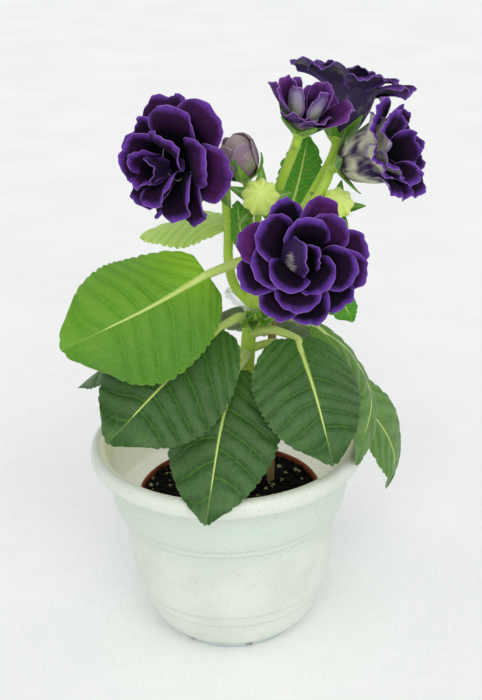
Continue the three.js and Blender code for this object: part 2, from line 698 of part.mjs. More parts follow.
const STALKS = {
  stalk_front: { flower: BLOOMS.bloom_front, cup: 5, broad: 2.4, sepalLength: 13, flare: [50, 80], turn: 20,
    path: [[16, 0, 188], [25, 0, 193], [32.5, -8, 197]] },
  stalk_left: { flower: BLOOMS.bloom_left, cup: 5, broad: 2.6, sepalLength: 15, flare: [60, 96], turn: 60,
    path: [[14, 0, 172], [6.5, 2.5, 181], [4.1, 5, 193], [4.5, 5, 206], [4.2, 5, 220], [4, 5.6, 230]] },
  stalk_top: { flower: BLOOMS.bloom_top, cup: 5.5, broad: 3.4, sepalLength: 16, flare: [50, 26], turn: 10,
    path: [[16, 1, 190], [27, 3, 196], [40.5, 7, 216.9], [52, 12, 235]] },
  stalk_right: { flower: BLOOMS.bloom_right, cup: 6, broad: 3.2, sepalLength: 15, flare: [58, 40], turn: 0,
    path: [[16, 1, 184], [26, -2, 192], [36.5, -3, 211], [49, 0, 229]] },
  stalk_small: { flower: BLOOMS.bloom_small, cup: 5, broad: 3.4, sepalLength: 13, flare: [60, 40], turn: 15,
    path: [[16, 1, 194], [22, 3.5, 206], [25.6, 3, 219.7], [30.3, 0, 233.3], [35.1, -7, 248]] },
  stalk_bud_mauve: { flower: BUDS.bud_mauve, cup: 4.6, broad: 2.8, sepalLength: 16, flare: [72, -10],
    turn: 60, thick: 1.6, path: [[16, 1, 192], [14.8, 6, 205], [15.1, 6.4, 219]] },
  stalk_bud_green: { flower: BUDS.bud_green, cup: 4.8, broad: 2.4, sepalLength: 12, flare: [68, 95],
    turn: 8, thick: 1.6, path: [[17, 0, 193], [18, 0.5, 206], [18.6, 1, 217]] },
  stalk_bud_small: { flower: BUDS.bud_green_small, cup: 4.4, broad: 2.2, sepalLength: 11, flare: [66, 92],
    turn: 20, thick: 1.5, path: [[16, -1, 184], [32, -4, 193], [46, -2, 206]] },
};
for (const [name, shape] of Object.entries(STALKS)) {
  grow(name, stalk(shape, shape.flower), STEM_GREEN);
}

for (const [name, shape] of Object.entries(LEAVES)) grow(name, leaf(shape), shape.color);

// ---------------------------------------------------------------- young shoot
// A tuft of young leaves in the axil above the lower leaves.
const SHOOT_FOOT = [16, -5, 163];
const SHOOT_LEAVES = [
  { tip: [9.5, -15.5, 167], face: [-0.3, -0.6, 0.7] },
  { tip: [15, -15, 174], face: [0, -0.9, 0.3] },
  { tip: [23.5, -13.5, 171], face: [0.5, -0.6, 0.6] },
];

function shoot(clear) {
  const foot = vec(SHOOT_FOOT);
  return fuse([
    pipe(stations([[13.5, -1, 162], SHOOT_FOOT, [16.5, -8.5, 166.5]], () => 1.6 + clear, 2), 5),
    ...SHOOT_LEAVES.map(({ tip, face }) => {
      const end = vec(tip);
      const base = foot.clone().lerp(end, 0.2).toArray();
      const middle = foot.clone().lerp(end, 0.55).add(new THREE.Vector3(0, -1.5, 1)).toArray();
      const surface = leafSurface({ rib: [base, middle, tip], face, width: 6, droop: 0.1 });
      return blade(surface, 3, 2, BLADE + 2 * clear);
    }),
  ]);
}
grow('young_shoot', shoot, LEAF_BRIGHT);

// ---------------------------------------------------------------- tie
// A strap of clear film that holds the stem and a stalk to the stake.
const TIE_WIDTH = 2.8;
const TIE_THICKNESS = 0.6;
const TIE_PATH = [
  [29.3, 5.5, 161], [20, -3.4, 167], [12, -6, 172], [4.4, -3, 177], [2.2, 4.5, 178], [7, 8.4, 175],
  [19, 10, 166],
];

function tie() {
  const loop = new THREE.CatmullRomCurve3(TIE_PATH.map(vec), true, 'catmullrom', 0.5);
  const steps = 12;
  const points = [];
  const faces = [];
  const centre = new THREE.Vector3(14, 2, 171);
  for (let i = 0; i < steps; i += 1) {
    const here = loop.getPoint(i / steps);
    const tangent = loop.getTangent(i / steps);
    const outward = here.clone().sub(centre).cross(tangent).cross(tangent).normalize();
    const along = outward.clone().cross(tangent);
    for (const [x, y] of [[-1, -1], [1, -1], [1, 1], [-1, 1]]) {
      points.push(here.clone()
        .addScaledVector(outward, (x * TIE_THICKNESS) / 2)
        .addScaledVector(along, (y * TIE_WIDTH) / 2));
    }
    for (let j = 0; j < 4; j += 1) {
      const a = i * 4 + j;
      const b = i * 4 + ((j + 1) % 4);
      const c = ((i + 1) % steps) * 4 + j;
      const d = ((i + 1) % steps) * 4 + ((j + 1) % 4);
      faces.push(a, b, d, a, d, c);
    }
  }
  return closed(points, faces);
}
grow('tie', () => tie(), CLEAR_FILM);

export default plant;
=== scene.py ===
import math

import bpy
import numpy as np
from mathutils import Matrix


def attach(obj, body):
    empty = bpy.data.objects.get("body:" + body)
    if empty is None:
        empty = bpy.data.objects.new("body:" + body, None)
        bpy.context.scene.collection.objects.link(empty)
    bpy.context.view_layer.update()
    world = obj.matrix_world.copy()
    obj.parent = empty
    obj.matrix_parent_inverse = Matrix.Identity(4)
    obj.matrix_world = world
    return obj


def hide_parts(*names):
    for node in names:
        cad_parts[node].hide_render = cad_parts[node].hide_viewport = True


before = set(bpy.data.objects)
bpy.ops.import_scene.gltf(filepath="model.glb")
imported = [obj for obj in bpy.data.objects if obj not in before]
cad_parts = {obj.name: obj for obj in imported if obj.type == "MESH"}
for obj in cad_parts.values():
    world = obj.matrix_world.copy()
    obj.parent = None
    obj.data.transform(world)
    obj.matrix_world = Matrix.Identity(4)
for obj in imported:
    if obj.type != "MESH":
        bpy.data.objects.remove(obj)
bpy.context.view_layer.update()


# ---------------------------------------------------------------- camera, floor and light
# A long lens looks down at the plant from 0.7 m in front of it. The plant stands on a pale woven cloth
# under a wide soft light from the front and a little from the right, in a bright white room.
def node(tree, kind, inputs=None, **settings):
    made = tree.nodes.new(kind)
    for key, value in settings.items():
        setattr(made, key, value)
    for key, value in (inputs or {}).items():
        if isinstance(value, bpy.types.NodeSocket):
            tree.links.new(value, made.inputs[key])
        else:
            made.inputs[key].default_value = value
    return made


def here(tree):
    return node(tree, "ShaderNodeTexCoord").outputs["Object"]


def noise(tree, scale, detail=2, place=None):
    """Noise over the piece's own place, or over another one."""
    inputs = {"Vector": here(tree) if place is None else place, "Scale": scale, "Detail": detail}
    return node(tree, "ShaderNodeTexNoise", inputs).outputs[0]


def calc(tree, operation, *values):
    return node(tree, "ShaderNodeMath", dict(enumerate(values)), operation=operation).outputs[0]


def fade(tree, value, low, high, start=0.0, end=1.0):
    limits = {"Value": value, "From Min": low, "From Max": high, "To Min": start, "To Max": end}
    return node(tree, "ShaderNodeMapRange", limits, interpolation_type="SMOOTHSTEP").outputs[0]


def blend(tree, factor, one, two):
    made = node(tree, "ShaderNodeMix", {0: factor, 6: one, 7: two}, data_type="RGBA")
    return made.outputs[2]


def finish(name, **constants):
    material = bpy.data.materials.new(name)
    material.use_nodes = True
    shader = material.node_tree.nodes["Principled BSDF"]
    for socket, value in constants.items():
        shader.inputs[socket.replace("_", " ")].default_value = value
    return material, material.node_tree, shader


def dress(tree, shader, colour, height, strength, distance):
    """Gives a finish its colour, and its relief from a height."""
    bump = node(tree, "ShaderNodeBump", {"Height": height, "Strength": strength, "Distance": distance})
    tree.links.new(colour, shader.inputs["Base Color"])
    tree.links.new(bump.outputs[0], shader.inputs["Normal"])


def placed_in_scene(name, data):
    made = bpy.data.objects.new(name, data)
    bpy.context.scene.collection.objects.link(made)
    return made


eye = np.array([0.0, -0.57239, 0.40186])
yaw, pitch, roll = 0.01455, 0.41652, -0.03683
ahead = np.array([math.sin(yaw) * math.cos(pitch), math.cos(yaw) * math.cos(pitch), -math.sin(pitch)])
level = np.array([math.cos(yaw), -math.sin(yaw), 0.0])
upright = np.cross(level, ahead)
right = math.cos(roll) * level + math.sin(roll) * upright
over = math.cos(roll) * upright - math.sin(roll) * level
camera = placed_in_scene("camera", bpy.data.cameras.new("camera"))
camera.data.lens = 66.86
camera.data.sensor_width = 36
camera.data.clip_end = 50
camera.matrix_world = Matrix([
    [*map(float, row), float(place)] for row, place in zip(np.array([right, over, -ahead]).T, eye)
] + [[0, 0, 0, 1]])
bpy.context.scene.camera = camera
bpy.context.scene.view_settings.view_transform = "Standard"

cloth, tree, shader = finish("cloth", Roughness=0.95, Specular_IOR_Level=0.1)
place = here(tree)
threads = [
    noise(tree, 1.0, 2, node(tree, "ShaderNodeMapping", {"Vector": place, "Scale": stretch}).outputs[0])
    for stretch in ((900, 60, 1), (60, 900, 1))
]
weave = calc(tree, "MULTIPLY", calc(tree, "ADD", *threads), 0.5)
patches = calc(tree, "MULTIPLY", noise(tree, 9, 2, place), 0.4)
shade = fade(tree, calc(tree, "MULTIPLY_ADD", weave, 0.6, patches), 0.36, 0.64)
white_cotton = blend(tree, shade, (0.895, 0.905, 0.895, 1), (0.96, 0.96, 0.95, 1))
dress(tree, shader, white_cotton, weave, 0.2, 0.0004)
floor_mesh = bpy.data.meshes.new("floor")
floor_mesh.from_pydata([(-6, -6, 0), (6, -6, 0), (6, 6, 0), (-6, 6, 0)], [], [(0, 1, 2, 3)])
floor_mesh.materials.append(cloth)
placed_in_scene("floor", floor_mesh)

room = bpy.data.worlds.new("room")
room.use_nodes = True
room.node_tree.nodes["Background"].inputs["Color"].default_value = (0.97, 0.99, 1.0, 1)
room.node_tree.nodes["Background"].inputs["Strength"].default_value = 0.74
bpy.context.scene.world = room
sun = placed_in_scene("soft_light", bpy.data.lights.new("soft_light", "SUN"))
sun.data.energy = 1.3
sun.data.angle = math.radians(55)
sun.data.color = (1.0, 0.985, 0.95)
sun.rotation_euler = (math.radians(54), math.radians(10), 0)


# ---------------------------------------------------------------- cachepot
# The outer pot: white plastic with fine grey specks, injection moulded in one piece. It has two raised
# bands, a rolled rim and a foot ring with seven notches, and stands on the floor.
def srgb(red, green, blue):
    channels = np.array([red, green, blue]) / 255
    linear = np.where(channels < 0.04045, channels / 12.92, ((channels + 0.055) / 1.055) ** 2.4)
    return (*linear.tolist(), 1.0)


def outward(points, quads, triangles):
    """The faces of a closed shell, turned to look outwards."""
    corners = np.vstack([quads[:, [0, 1, 2]], quads[:, [0, 2, 3]], triangles]).astype(int)
    a, b, c = (points[corners[:, k]] for k in range(3))
    if np.einsum("ij,ij->i", a, np.cross(b, c)).sum() < 0:
        return quads[:, ::-1], triangles[:, ::-1]
    return quads, triangles


def shell(points, quads, triangles=(), **marks):
    """A closed shell: its points in millimetres, its faces, and what its material reads at each point."""
    points = np.asarray(points, float)
    quads = np.array(quads, int).reshape(-1, 4)
    triangles = np.array(triangles, int).reshape(-1, 3)
    quads, triangles = outward(points, quads, triangles)
    return {"points": points, "quads": quads, "triangles": triangles, "marks": marks}


def joined(name, shells, materials=()):
    """An object made of closed shells, in metres. A shell's paint is its material's place."""
    offsets = np.cumsum([0] + [len(s["points"]) for s in shells])
    quads = np.vstack([s["quads"] + o for s, o in zip(shells, offsets)])
    triangles = np.vstack([s["triangles"] + o for s, o in zip(shells, offsets)])
    points = np.vstack([s["points"] for s in shells])
    mesh = bpy.data.meshes.new(name)
    mesh.from_pydata((points / 1000).tolist(), [], quads.tolist() + triangles.tolist())
    for mark in sorted({key for s in shells for key in s["marks"]}):
        values = np.vstack([s["marks"].get(mark, np.zeros_like(s["points"])) for s in shells])
        mesh.attributes.new(mark, "FLOAT_VECTOR", "POINT").data.foreach_set("vector", values.ravel())
    mesh.shade_smooth()
    paints = [np.repeat(s.get("paint", 0), len(s[kind])) for kind in ("quads", "triangles") for s in shells]
    mesh.polygons.foreach_set("material_index", np.concatenate(paints).astype(np.int32))
    for material in materials:
        mesh.materials.append(material)
    return placed_in_scene(name, mesh)


def piece(name, shells, materials, slot, *nodes):
    """A finished piece, which stands for the named nodes."""
    made = joined(name, shells, materials if isinstance(materials, list) else [materials])
    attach(made, "root")
    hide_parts(*nodes)
    return made


def soften(outline, cut):
    """An outline with each inner corner cut back by a short way on both sides."""
    outline = np.array(outline, float)
    kept = [outline[0]]
    for before, corner, after in zip(outline[:-2], outline[1:-1], outline[2:]):
        for other in (before, after):
            way = other - corner
            kept.append(corner + way * min(cut / np.linalg.norm(way), 0.3))
    return np.array(kept + [outline[-1]])


def tube_shell(grid, ends=None, **marks):
    """A closed shell over rings of points, with a fan at both ends."""
    count, sides = grid.shape[:2]
    ends = grid[[0, -1]].mean(axis=1) if ends is None else ends
    index = np.arange(count * sides).reshape(count, sides)
    beside = np.roll(index, -1, axis=1)
    quads = np.stack([index[:-1], beside[:-1], beside[1:], index[1:]], axis=-1)
    caps = np.vstack([
        np.stack([np.full(sides, count * sides), beside[0], index[0]], axis=-1),
        np.stack([np.full(sides, count * sides + 1), index[-1], beside[-1]], axis=-1),
    ])
    spread = {key: (v[:, None] if v.ndim == 2 else v) * np.ones((1, sides, 1)) for key, v in marks.items()}
    spread = {key: np.vstack([v.reshape(-1, 3), v[0, :1], v[-1, -1:]]) for key, v in spread.items()}
    return shell(np.vstack([grid.reshape(-1, 3), ends]), quads, caps, **spread)


def turned(outline, angles, lift=None, **marks):
    """A body turned round Z from an outline that starts and ends on the axis."""
    rings = outline[1:-1]
    radius, height = rings[:, :1], np.repeat(rings[:, 1:], len(angles), axis=1)
    if lift:
        height = lift(radius, height, angles)
    grid = np.stack([radius * np.sin(angles), -radius * np.cos(angles), height], axis=-1)
    ends = [(0, 0, outline[0][1]), (0, 0, outline[-1][1])]
    return tube_shell(grid, ends, **{key: values[1:-1] for key, values in marks.items()})


POT_OUTLINE = [
    (0, 0), (9, 0), (9.6, 3), (29.9, 3), (30.6, 0), (33.8, 0), (34.3, 3.9), (38.3, 5.6), (41.8, 9.5),
    (44, 14), (45.2, 17.8), (46.2, 21.2), (47, 22), (48.3, 27.2), (49, 28.2), (49.6, 31.2), (50.3, 36),
    (51.3, 46), (52.4, 56), (53.8, 63), (54.5, 65), (54.8, 66.2), (55.7, 67), (56.3, 69.6), (56.6, 70.4),
    (57.2, 70.9), (58.2, 74), (59.1, 80), (59.6, 86), (60.3, 91.6), (61.2, 93.1), (64, 93.4), (66.4, 94.4),
    (67.6, 96.2), (68, 98.5), (67.4, 101.2), (66, 102.6), (64.2, 103),
    (62.2, 102.5), (60.4, 100.6), (58.6, 96.5), (57.4, 90), (56.9, 80), (56, 72), (54, 66.5),
    (51.8, 61.5), (50.2, 56), (48.4, 38), (46.6, 28), (43, 18.5), (39.5, 12), (36, 8), (32.6, 6),
    (28, 5.6), (0, 5.6),
]
FIRST_INNER_CORNER = 38
POT_GROOVES = (21.6, 27.7, 66.6, 70.6)
FOOT_RING = (29.5, 35)
NOTCHES = 7
FIRST_NOTCH = 11
NOTCH_HALF_ANGLE = 2.67
NOTCH_SLOPE = 0.08
NOTCH_HEIGHT = 1.8
notch_middles = FIRST_NOTCH + 360 / NOTCHES * np.arange(NOTCHES)
notch_edges = [
    middle + side * (NOTCH_HALF_ANGLE + off)
    for middle in notch_middles for side in (-1, 1) for off in (0, NOTCH_SLOPE)
]
pot_degrees = np.concatenate([np.arange(0, 360, 2), np.array(notch_edges) % 360])
pot_angles = np.radians(np.unique(np.round(pot_degrees, 3)))


def notched(radius, height, angles):
    turns = (np.degrees(angles)[:, None] - notch_middles + 180) % 360 - 180
    cut = (np.abs(turns) < NOTCH_HALF_ANGLE + NOTCH_SLOPE / 2).any(axis=1)[None, :]
    cut = cut & (radius > FOOT_RING[0]) & (radius < FOOT_RING[1])
    return np.where(cut, np.maximum(height, NOTCH_HEIGHT), height)


def group(name, kind, inputs, outputs):
    """An empty node group, with its sockets by name and kind, and what comes into it."""
    tree = bpy.data.node_groups.new(name, kind)
    for way, sockets in (("INPUT", inputs), ("OUTPUT", outputs)):
        for key, value in sockets.items():
            tree.interface.new_socket(key, in_out=way, socket_type="NodeSocket" + value)
    return tree, node(tree, "NodeGroupInput").outputs


def parts(tree, vector):
    return node(tree, "ShaderNodeSeparateXYZ", {0: vector}).outputs


def layered(tree, colour, *layers):
    """A colour with others over it, each by its mask."""
    for mask, paint in layers:
        colour = blend(tree, mask, colour, paint)
    return colour


def specks_group():
    """Small round specks of uneven size on a share of the cells."""
    inputs = {"Cell": "Float", "Share": "Float", "Seed": "Float"}
    tree, given = group("Specks", "ShaderNodeTree", inputs, {"Mask": "Float"})
    shifted = node(tree, "ShaderNodeVectorMath", {0: here(tree), 1: given["Seed"]}, operation="ADD")
    scale = calc(tree, "DIVIDE", 1.0, given["Cell"])
    cells = node(tree, "ShaderNodeTexVoronoi", {"Vector": shifted.outputs[0], "Scale": scale})
    chance = node(tree, "ShaderNodeSeparateColor", {0: cells.outputs["Color"]}).outputs
    chosen = calc(tree, "LESS_THAN", chance[0], given["Share"])
    size = calc(tree, "MULTIPLY_ADD", chance[1], 0.11, 0.06)
    dot = calc(tree, "LESS_THAN", cells.outputs["Distance"], size)
    node(tree, "NodeGroupOutput", {"Mask": calc(tree, "MULTIPLY", chosen, dot)})
    return tree


SPECKS = specks_group()


def specks(tree, cell, share, seed):
    inputs = {"Cell": cell, "Share": share, "Seed": seed}
    return node(tree, "ShaderNodeGroup", inputs, node_tree=SPECKS).outputs["Mask"]


def read_mark(tree, name):
    """What a piece's shells say at each point."""
    return node(tree, "ShaderNodeAttribute", attribute_name=name).outputs[1]


def pot_finish(name, weight, reach):
    """White plastic, with the inside painted a brighter ivory: partly the plastic's own warm tone, partly
    painted light for light that passes through the wall. Light soaks through it as far as reach, in metres.
    """
    material, tree, shader = finish(name, Roughness=0.4, Subsurface_Weight=weight, Subsurface_Scale=1.0,
                                    Subsurface_Radius=(reach, reach, 0.7 * reach), Coat_Weight=0.15,
                                    Coat_Roughness=0.25)
    # the inner wall is painted brighter ivory: partly the plastic's own warm tone, partly painted light for
    # light passing through the thin wall
    inner = parts(tree, read_mark(tree, "wall"))[0]
    height = parts(tree, here(tree))[2]
    white = blend(tree, fade(tree, noise(tree, 40), 0.35, 0.65), srgb(210, 217, 206), srgb(219, 225, 214))
    # painted shade: the white turns darker and greener over the upper body, fading out just below the rim
    below_rim = fade(tree, height, 0.088, 0.096, 1.0, 0.0)
    shaded = calc(tree, "MULTIPLY", fade(tree, height, 0.05, 0.078), below_rim)
    # painted shadow: thin darker lines at the heights where the raised bands meet the wall
    beside = [calc(tree, "ABSOLUTE", calc(tree, "SUBTRACT", height, mm / 1000)) for mm in POT_GROOVES]
    painted_groove_shadows = [(fade(tree, off, 0.0002, 0.0009, 0.45, 0.0), srgb(188, 197, 184)) for off in beside]
    colour = layered(
        tree, white, (shaded, srgb(206, 218, 206)), *painted_groove_shadows,
        # painted shade: the lowest few millimetres, the foot ring, turn blue-grey
        (fade(tree, height, 0.002, 0.0042, 0.7, 0.0), srgb(184, 199, 202)), (inner, srgb(250, 247, 222)),
        (calc(tree, "MULTIPLY", specks(tree, 0.0018, 0.85, 0.0), 0.65), srgb(120, 132, 124)),
        (calc(tree, "MULTIPLY", specks(tree, 0.0012, 0.8, 3.0), 0.5), srgb(146, 156, 148)))
    dress(tree, shader, colour, noise(tree, 90, 1), 0.04, 0.0006)
    return material


corners = np.zeros((len(POT_OUTLINE), 3))
corners[FIRST_INNER_CORNER:, 0] = 1
profile = soften(soften(np.hstack([POT_OUTLINE, corners]), 0.45), 0.2)
pot = piece(
    "white_cachepot", [turned(profile[:, :2], pot_angles, notched, wall=profile[:, 2:])],
    [pot_finish("white_outside", 0.25, 0.003), pot_finish("white_inside", 1.0, 0.014)], "white_plastic",
    "cachepot")
inside = [mark.vector[0] > 0.5 for mark in pot.data.attributes["wall"].data]
for face in pot.data.polygons:
    face.material_index = int(all(inside[i] for i in face.vertices))


# ---------------------------------------------------------------- nursery pot
# The inner pot: thin terracotta-coloured plastic with a collar at its rim. It is vacuum formed and
# stands loose on the floor of the cachepot.
NURSERY_OUTLINE = [
    (0, 5.9), (30.4, 5.9), (30.9, 7), (43.4, 66.2), (45.5, 66.6), (45.6, 72.6), (45.3, 73), (44.4, 73),
    (44.1, 72.6), (43.9, 67.2), (43, 65.6), (29.5, 7.3), (0, 7.3),
]
terracotta, tree, shader = finish("terracotta_plastic", Roughness=0.58)
stained = fade(tree, noise(tree, 130, 5), 0.42, 0.68)
brick_red = blend(tree, stained, srgb(168, 84, 48), srgb(108, 58, 38))
dress(tree, shader, brick_red, noise(tree, 1500), 0.2, 0.0002)
outline = soften(soften(NURSERY_OUTLINE, 0.4), 0.15)
piece("terracotta_pot", [turned(outline, np.radians(np.arange(0, 360, 3)))], terracotta,
      "terracotta_plastic", "nursery_pot")


# ---------------------------------------------------------------- soil
# Dark crumbly peat, pressed in by hand round the stem, with pale grit mixed through it. The crumbs and
# the grit lie loose on top.
SOIL_TOP = 71.2
SOIL_RADIUS = 43.5
SOIL_FOOT = [(SOIL_RADIUS, 68.2), (42.2, 65.2), (28.6, 7.8)]
BED_RADIUS = 42.5


def scatter_tree(name, sizes, make):
    """A node tree that lays small pieces over a surface: make gives their form, turn and size."""
    floats = {key: "Float" for key in ("Density", *sizes)}
    tree, given = group(name, "GeometryNodeTree", {
        "Surface": "Geometry", **floats, "Seed": "Int", "Material": "Material"}, {"Pieces": "Geometry"})
    spots = node(tree, "GeometryNodeDistributePointsOnFaces", {
        "Mesh": given["Surface"], "Density": given["Density"], "Seed": given["Seed"]}).outputs
    form, turn, size = make(tree, given, spots)
    placed = node(tree, "GeometryNodeInstanceOnPoints", {
        "Points": spots["Points"], "Instance": form, "Rotation": turn, "Scale": size}).outputs[0]
    real = node(tree, "GeometryNodeRealizeInstances", {0: placed}).outputs[0]
    painted = node(tree, "GeometryNodeSetMaterial", {"Geometry": real, "Material": given["Material"]})
    node(tree, "NodeGroupOutput", {"Pieces": painted.outputs[0]})
    return tree


def by_chance(tree, given, low, high, kind="FLOAT"):
    """A random value for each piece: output 0 is its vector and output 1 its number."""
    first = 0 if kind == "FLOAT_VECTOR" else 2
    inputs = {first: low, first + 1: high, "Seed": given["Seed"]}
    return node(tree, "FunctionNodeRandomValue", inputs, data_type=kind).outputs[first // 2]


def lumps_tree(name, roughness, facets):
    """Loose lumps, each turned and sized at random."""
    def make(tree, given, _):
        ball = node(tree, "GeometryNodeMeshIcoSphere", {"Radius": 1.0, "Subdivisions": facets}).outputs[0]
        rough = node(tree, "ShaderNodeTexNoise", {"Scale": roughness, "Detail": 0}).outputs["Color"]
        shift = node(tree, "ShaderNodeVectorMath", {0: rough, 1: (0.5, 0.5, 0.5)}, operation="SUBTRACT")
        uneven = node(tree, "GeometryNodeSetPosition", {"Geometry": ball, "Offset": shift.outputs[0]})
        turn = by_chance(tree, given, (0, 0, 0), (6.3, 6.3, 6.3), "FLOAT_VECTOR")
        return uneven.outputs[0], turn, by_chance(tree, given, given["Smallest"], given["Largest"])
    return scatter_tree(name, ("Smallest", "Largest"), make)


def grown_on(made, tree, slot, **values):
    """Turns a bare surface into the piece that a node tree lays over it."""
    modifier = made.modifiers.new(made.name, "NODES")
    modifier.node_group = tree
    sockets = {
        item.name: item.identifier for item in tree.interface.items_tree
        if item.item_type == "SOCKET" and item.in_out == "INPUT"
    }
    for key, value in values.items():
        modifier[sockets[key]] = value
    made.update_tag()
    bpy.context.view_layer.update()
    shaped = bpy.data.meshes.new_from_object(made.evaluated_get(bpy.context.evaluated_depsgraph_get()))
    made.modifiers.clear()
    made.data = shaped
    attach(made, "root")
    return made


peat, tree, shader = finish("peat", Roughness=0.92, Specular_IOR_Level=0.2)
clod = noise(tree, 500, 4)
dark_peat = blend(tree, fade(tree, clod, 0.4, 0.7), srgb(5, 4, 4), srgb(30, 23, 18))
dress(tree, shader, dark_peat, clod, 0.6, 0.001)
rings = np.linspace(0, SOIL_RADIUS, 44)[1:]
sectors = np.radians(np.arange(0, 360, 3))
R, A = np.meshgrid(rings, sectors, indexing="ij")
bumps = sum(
    0.5 / k * np.sin(0.42 * k * R * np.cos(A + 2.1 * k) + k)
    * np.cos(0.37 * k * R * np.sin(A + 1.3 * k) + 2 * k)
    for k in (1, 2, 3, 5)
)
crown = SOIL_TOP + 0.3 + bumps - 0.5 * (R / SOIL_RADIUS) ** 6
foot = np.array(SOIL_FOOT)
lower = np.repeat(foot[:, 1:], len(sectors), axis=1)
grid = np.concatenate([
    np.stack([R * np.cos(A), R * np.sin(A), crown], axis=-1),
    np.stack([foot[:, :1] * np.cos(sectors), foot[:, :1] * np.sin(sectors), lower], axis=-1),
])
ends = [(0, 0, SOIL_TOP + 0.4), (0, 0, foot[-1, 1])]
piece("peat_soil", [tube_shell(grid, ends)], peat, "potting_soil", "soil")


def bed(name):
    """The flat bed that loose lumps lie on."""
    angles = np.radians(np.arange(0, 360, 15))
    rim = [(BED_RADIUS * math.cos(a), BED_RADIUS * math.sin(a), SOIL_TOP) for a in angles]
    mesh = bpy.data.meshes.new(name)
    mesh.from_pydata((np.array(rim) / 1000).tolist(), [], [list(range(len(rim)))])
    return placed_in_scene(name, mesh)


grit, tree, shader = finish("grit", Roughness=0.85)
pale_stone = blend(tree, fade(tree, noise(tree, 220), 0.4, 0.6), srgb(138, 132, 82), srgb(202, 196, 156))
tree.links.new(pale_stone, shader.inputs["Base Color"])
grown_on(bed("peat_crumbs"), lumps_tree("Crumbs", 1.1, 1), "potting_soil", Density=330000.0,
         Smallest=0.0003, Largest=0.0014, Seed=4, Material=peat)
grown_on(bed("pale_grit"), lumps_tree("Grit", 1.4, 2), "potting_soil", Density=34000.0,
         Smallest=0.0004, Largest=0.0013, Seed=11, Material=grit)


# ---------------------------------------------------------------- stem
# The thick fleshy main stem, which stands in the soil. It is downy and yellow-green, with brown scars
# where old leaves broke off.
def spine(points):
    """A smooth curve through points, over t from 0 to 1."""
    knots = np.array(points, float)
    knots = np.vstack([2 * knots[0] - knots[1], knots, 2 * knots[-1] - knots[-2]])

    def at(t):
        way = np.clip(np.asarray(t, float), 0, 1) * (len(knots) - 3)
        i = np.minimum(way.astype(int), len(knots) - 4)
        w = (way - i)[..., None]
        a, b, c, d = (knots[i + k] for k in range(4))
        return (b + w * (c - a) / 2 + w**2 * (a - 2.5 * b + 2 * c - 0.5 * d)
                + w**3 * (1.5 * (b - c) + 0.5 * (d - a)))
    return at


def unit(vectors):
    return vectors / np.maximum(np.linalg.norm(vectors, axis=-1, keepdims=True), 1e-9)


def pipe(centres, radii, sides, wave=None, **marks):
    """A closed pipe over centres, carried along without a twist. wave swells its skin at each point."""
    way = unit(np.gradient(centres, axis=0))
    across = np.zeros_like(way)
    last = np.array([1, 0.3, 0.2])
    for i, ahead in enumerate(way):
        last = unit(last - ahead * last.dot(ahead))
        across[i] = last
    above = np.cross(across, way)
    turn = np.linspace(0, 2 * math.pi, sides, endpoint=False)
    reach = np.asarray(radii, float)[:, None] * np.ones(sides)
    if wave is not None:
        reach = reach + wave(np.arange(len(centres))[:, None] / (len(centres) - 1), turn[None, :])
    grid = centres[:, None] + reach[..., None] * (
        across[:, None] * np.cos(turn)[:, None] + above[:, None] * np.sin(turn)[:, None])
    return tube_shell(grid, **marks)


def down_group():
    """Fine short down: a soft mottle for the colour, and a height for the skin."""
    outputs = {"Mottle": "Float", "Height": "Float"}
    tree, given = group("Down", "ShaderNodeTree", {"Grain": "Float", "Patch": "Float"}, outputs)
    place = here(tree)
    fine = noise(tree, given["Grain"], 2, place)
    narrow = fade(tree, fine, 0.35, 0.65)
    wide = fade(tree, noise(tree, given["Patch"], 3, place), 0.35, 0.65)
    mottle = calc(tree, "MULTIPLY_ADD", narrow, 0.45, calc(tree, "MULTIPLY", wide, 0.55))
    node(tree, "NodeGroupOutput", {"Mottle": mottle, "Height": fine})
    return tree


DOWN = down_group()


def downy(tree, grain, patch):
    return node(tree, "ShaderNodeGroup", {"Grain": grain, "Patch": patch}, node_tree=DOWN).outputs


stem_green, tree, shader = finish("stem_green", Roughness=0.5, Sheen_Weight=0.12, Sheen_Roughness=0.4,
                                  Subsurface_Weight=0.15, Subsurface_Radius=(0.001, 0.002, 0.0005))
skin = downy(tree, 1600, 70)
scarred, paled, _ = parts(tree, read_mark(tree, "skin"))
fresh = blend(tree, skin["Mottle"], srgb(156, 194, 48), srgb(190, 220, 84))
colour = layered(tree, fresh, (paled, srgb(196, 214, 126)), (scarred, srgb(70, 42, 22)))
dress(tree, shader, colour, skin["Height"], 0.25, 0.0003)

STEM_LENGTH = 143
STEM_RADIUS = 3.6
STEM_SIDES = 40
STEM_PATH = [(4, 1, 54.5), (8, 1, 98), (10.9, 0, 138), (13, 0, 161), (15, 0, 180), (17, 1, 197)]
SCARS = [
    (0.34, 4.3, 1.7), (0.5, 5.2, 1.9), (0.6, 3.9, 1.6), (0.72, 4.9, 1.8), (0.8, 3.6, 1.4), (0.44, 3.2, 1.2),
]


def scars(t, turn):
    """How much of a scar lies at each point of the stem: scars are given by height, turn and width."""
    found = 0
    for height, where, width in SCARS:
        off = (turn - where + math.pi) % (2 * math.pi) - math.pi
        up, beside = (t - height) * STEM_LENGTH / width, off * STEM_RADIUS / width
        found = np.maximum(found, np.exp(-(up**2) - beside**2))
    return found


def stem_wave(t, turn):
    ridges = 0.12 * np.cos(5 * turn + 3 * t) + 0.1 * np.cos(3 * turn - 9 * t)
    return ridges + 0.5 * scars(t, turn)


steps = np.linspace(0, 1, 160)
turns = np.linspace(0, 2 * math.pi, STEM_SIDES, endpoint=False)
marked = scars(steps[:, None], turns[None, :])
scar_marks = np.clip(1.4 * marked - 0.25, 0, 1)[..., None] * [1, 0, 0]
stem = pipe(spine(STEM_PATH)(steps), 4.1 * (1 - 0.3 * steps), STEM_SIDES, stem_wave, skin=scar_marks)
piece("main_stem", [stem], stem_green, "stem", "stem")


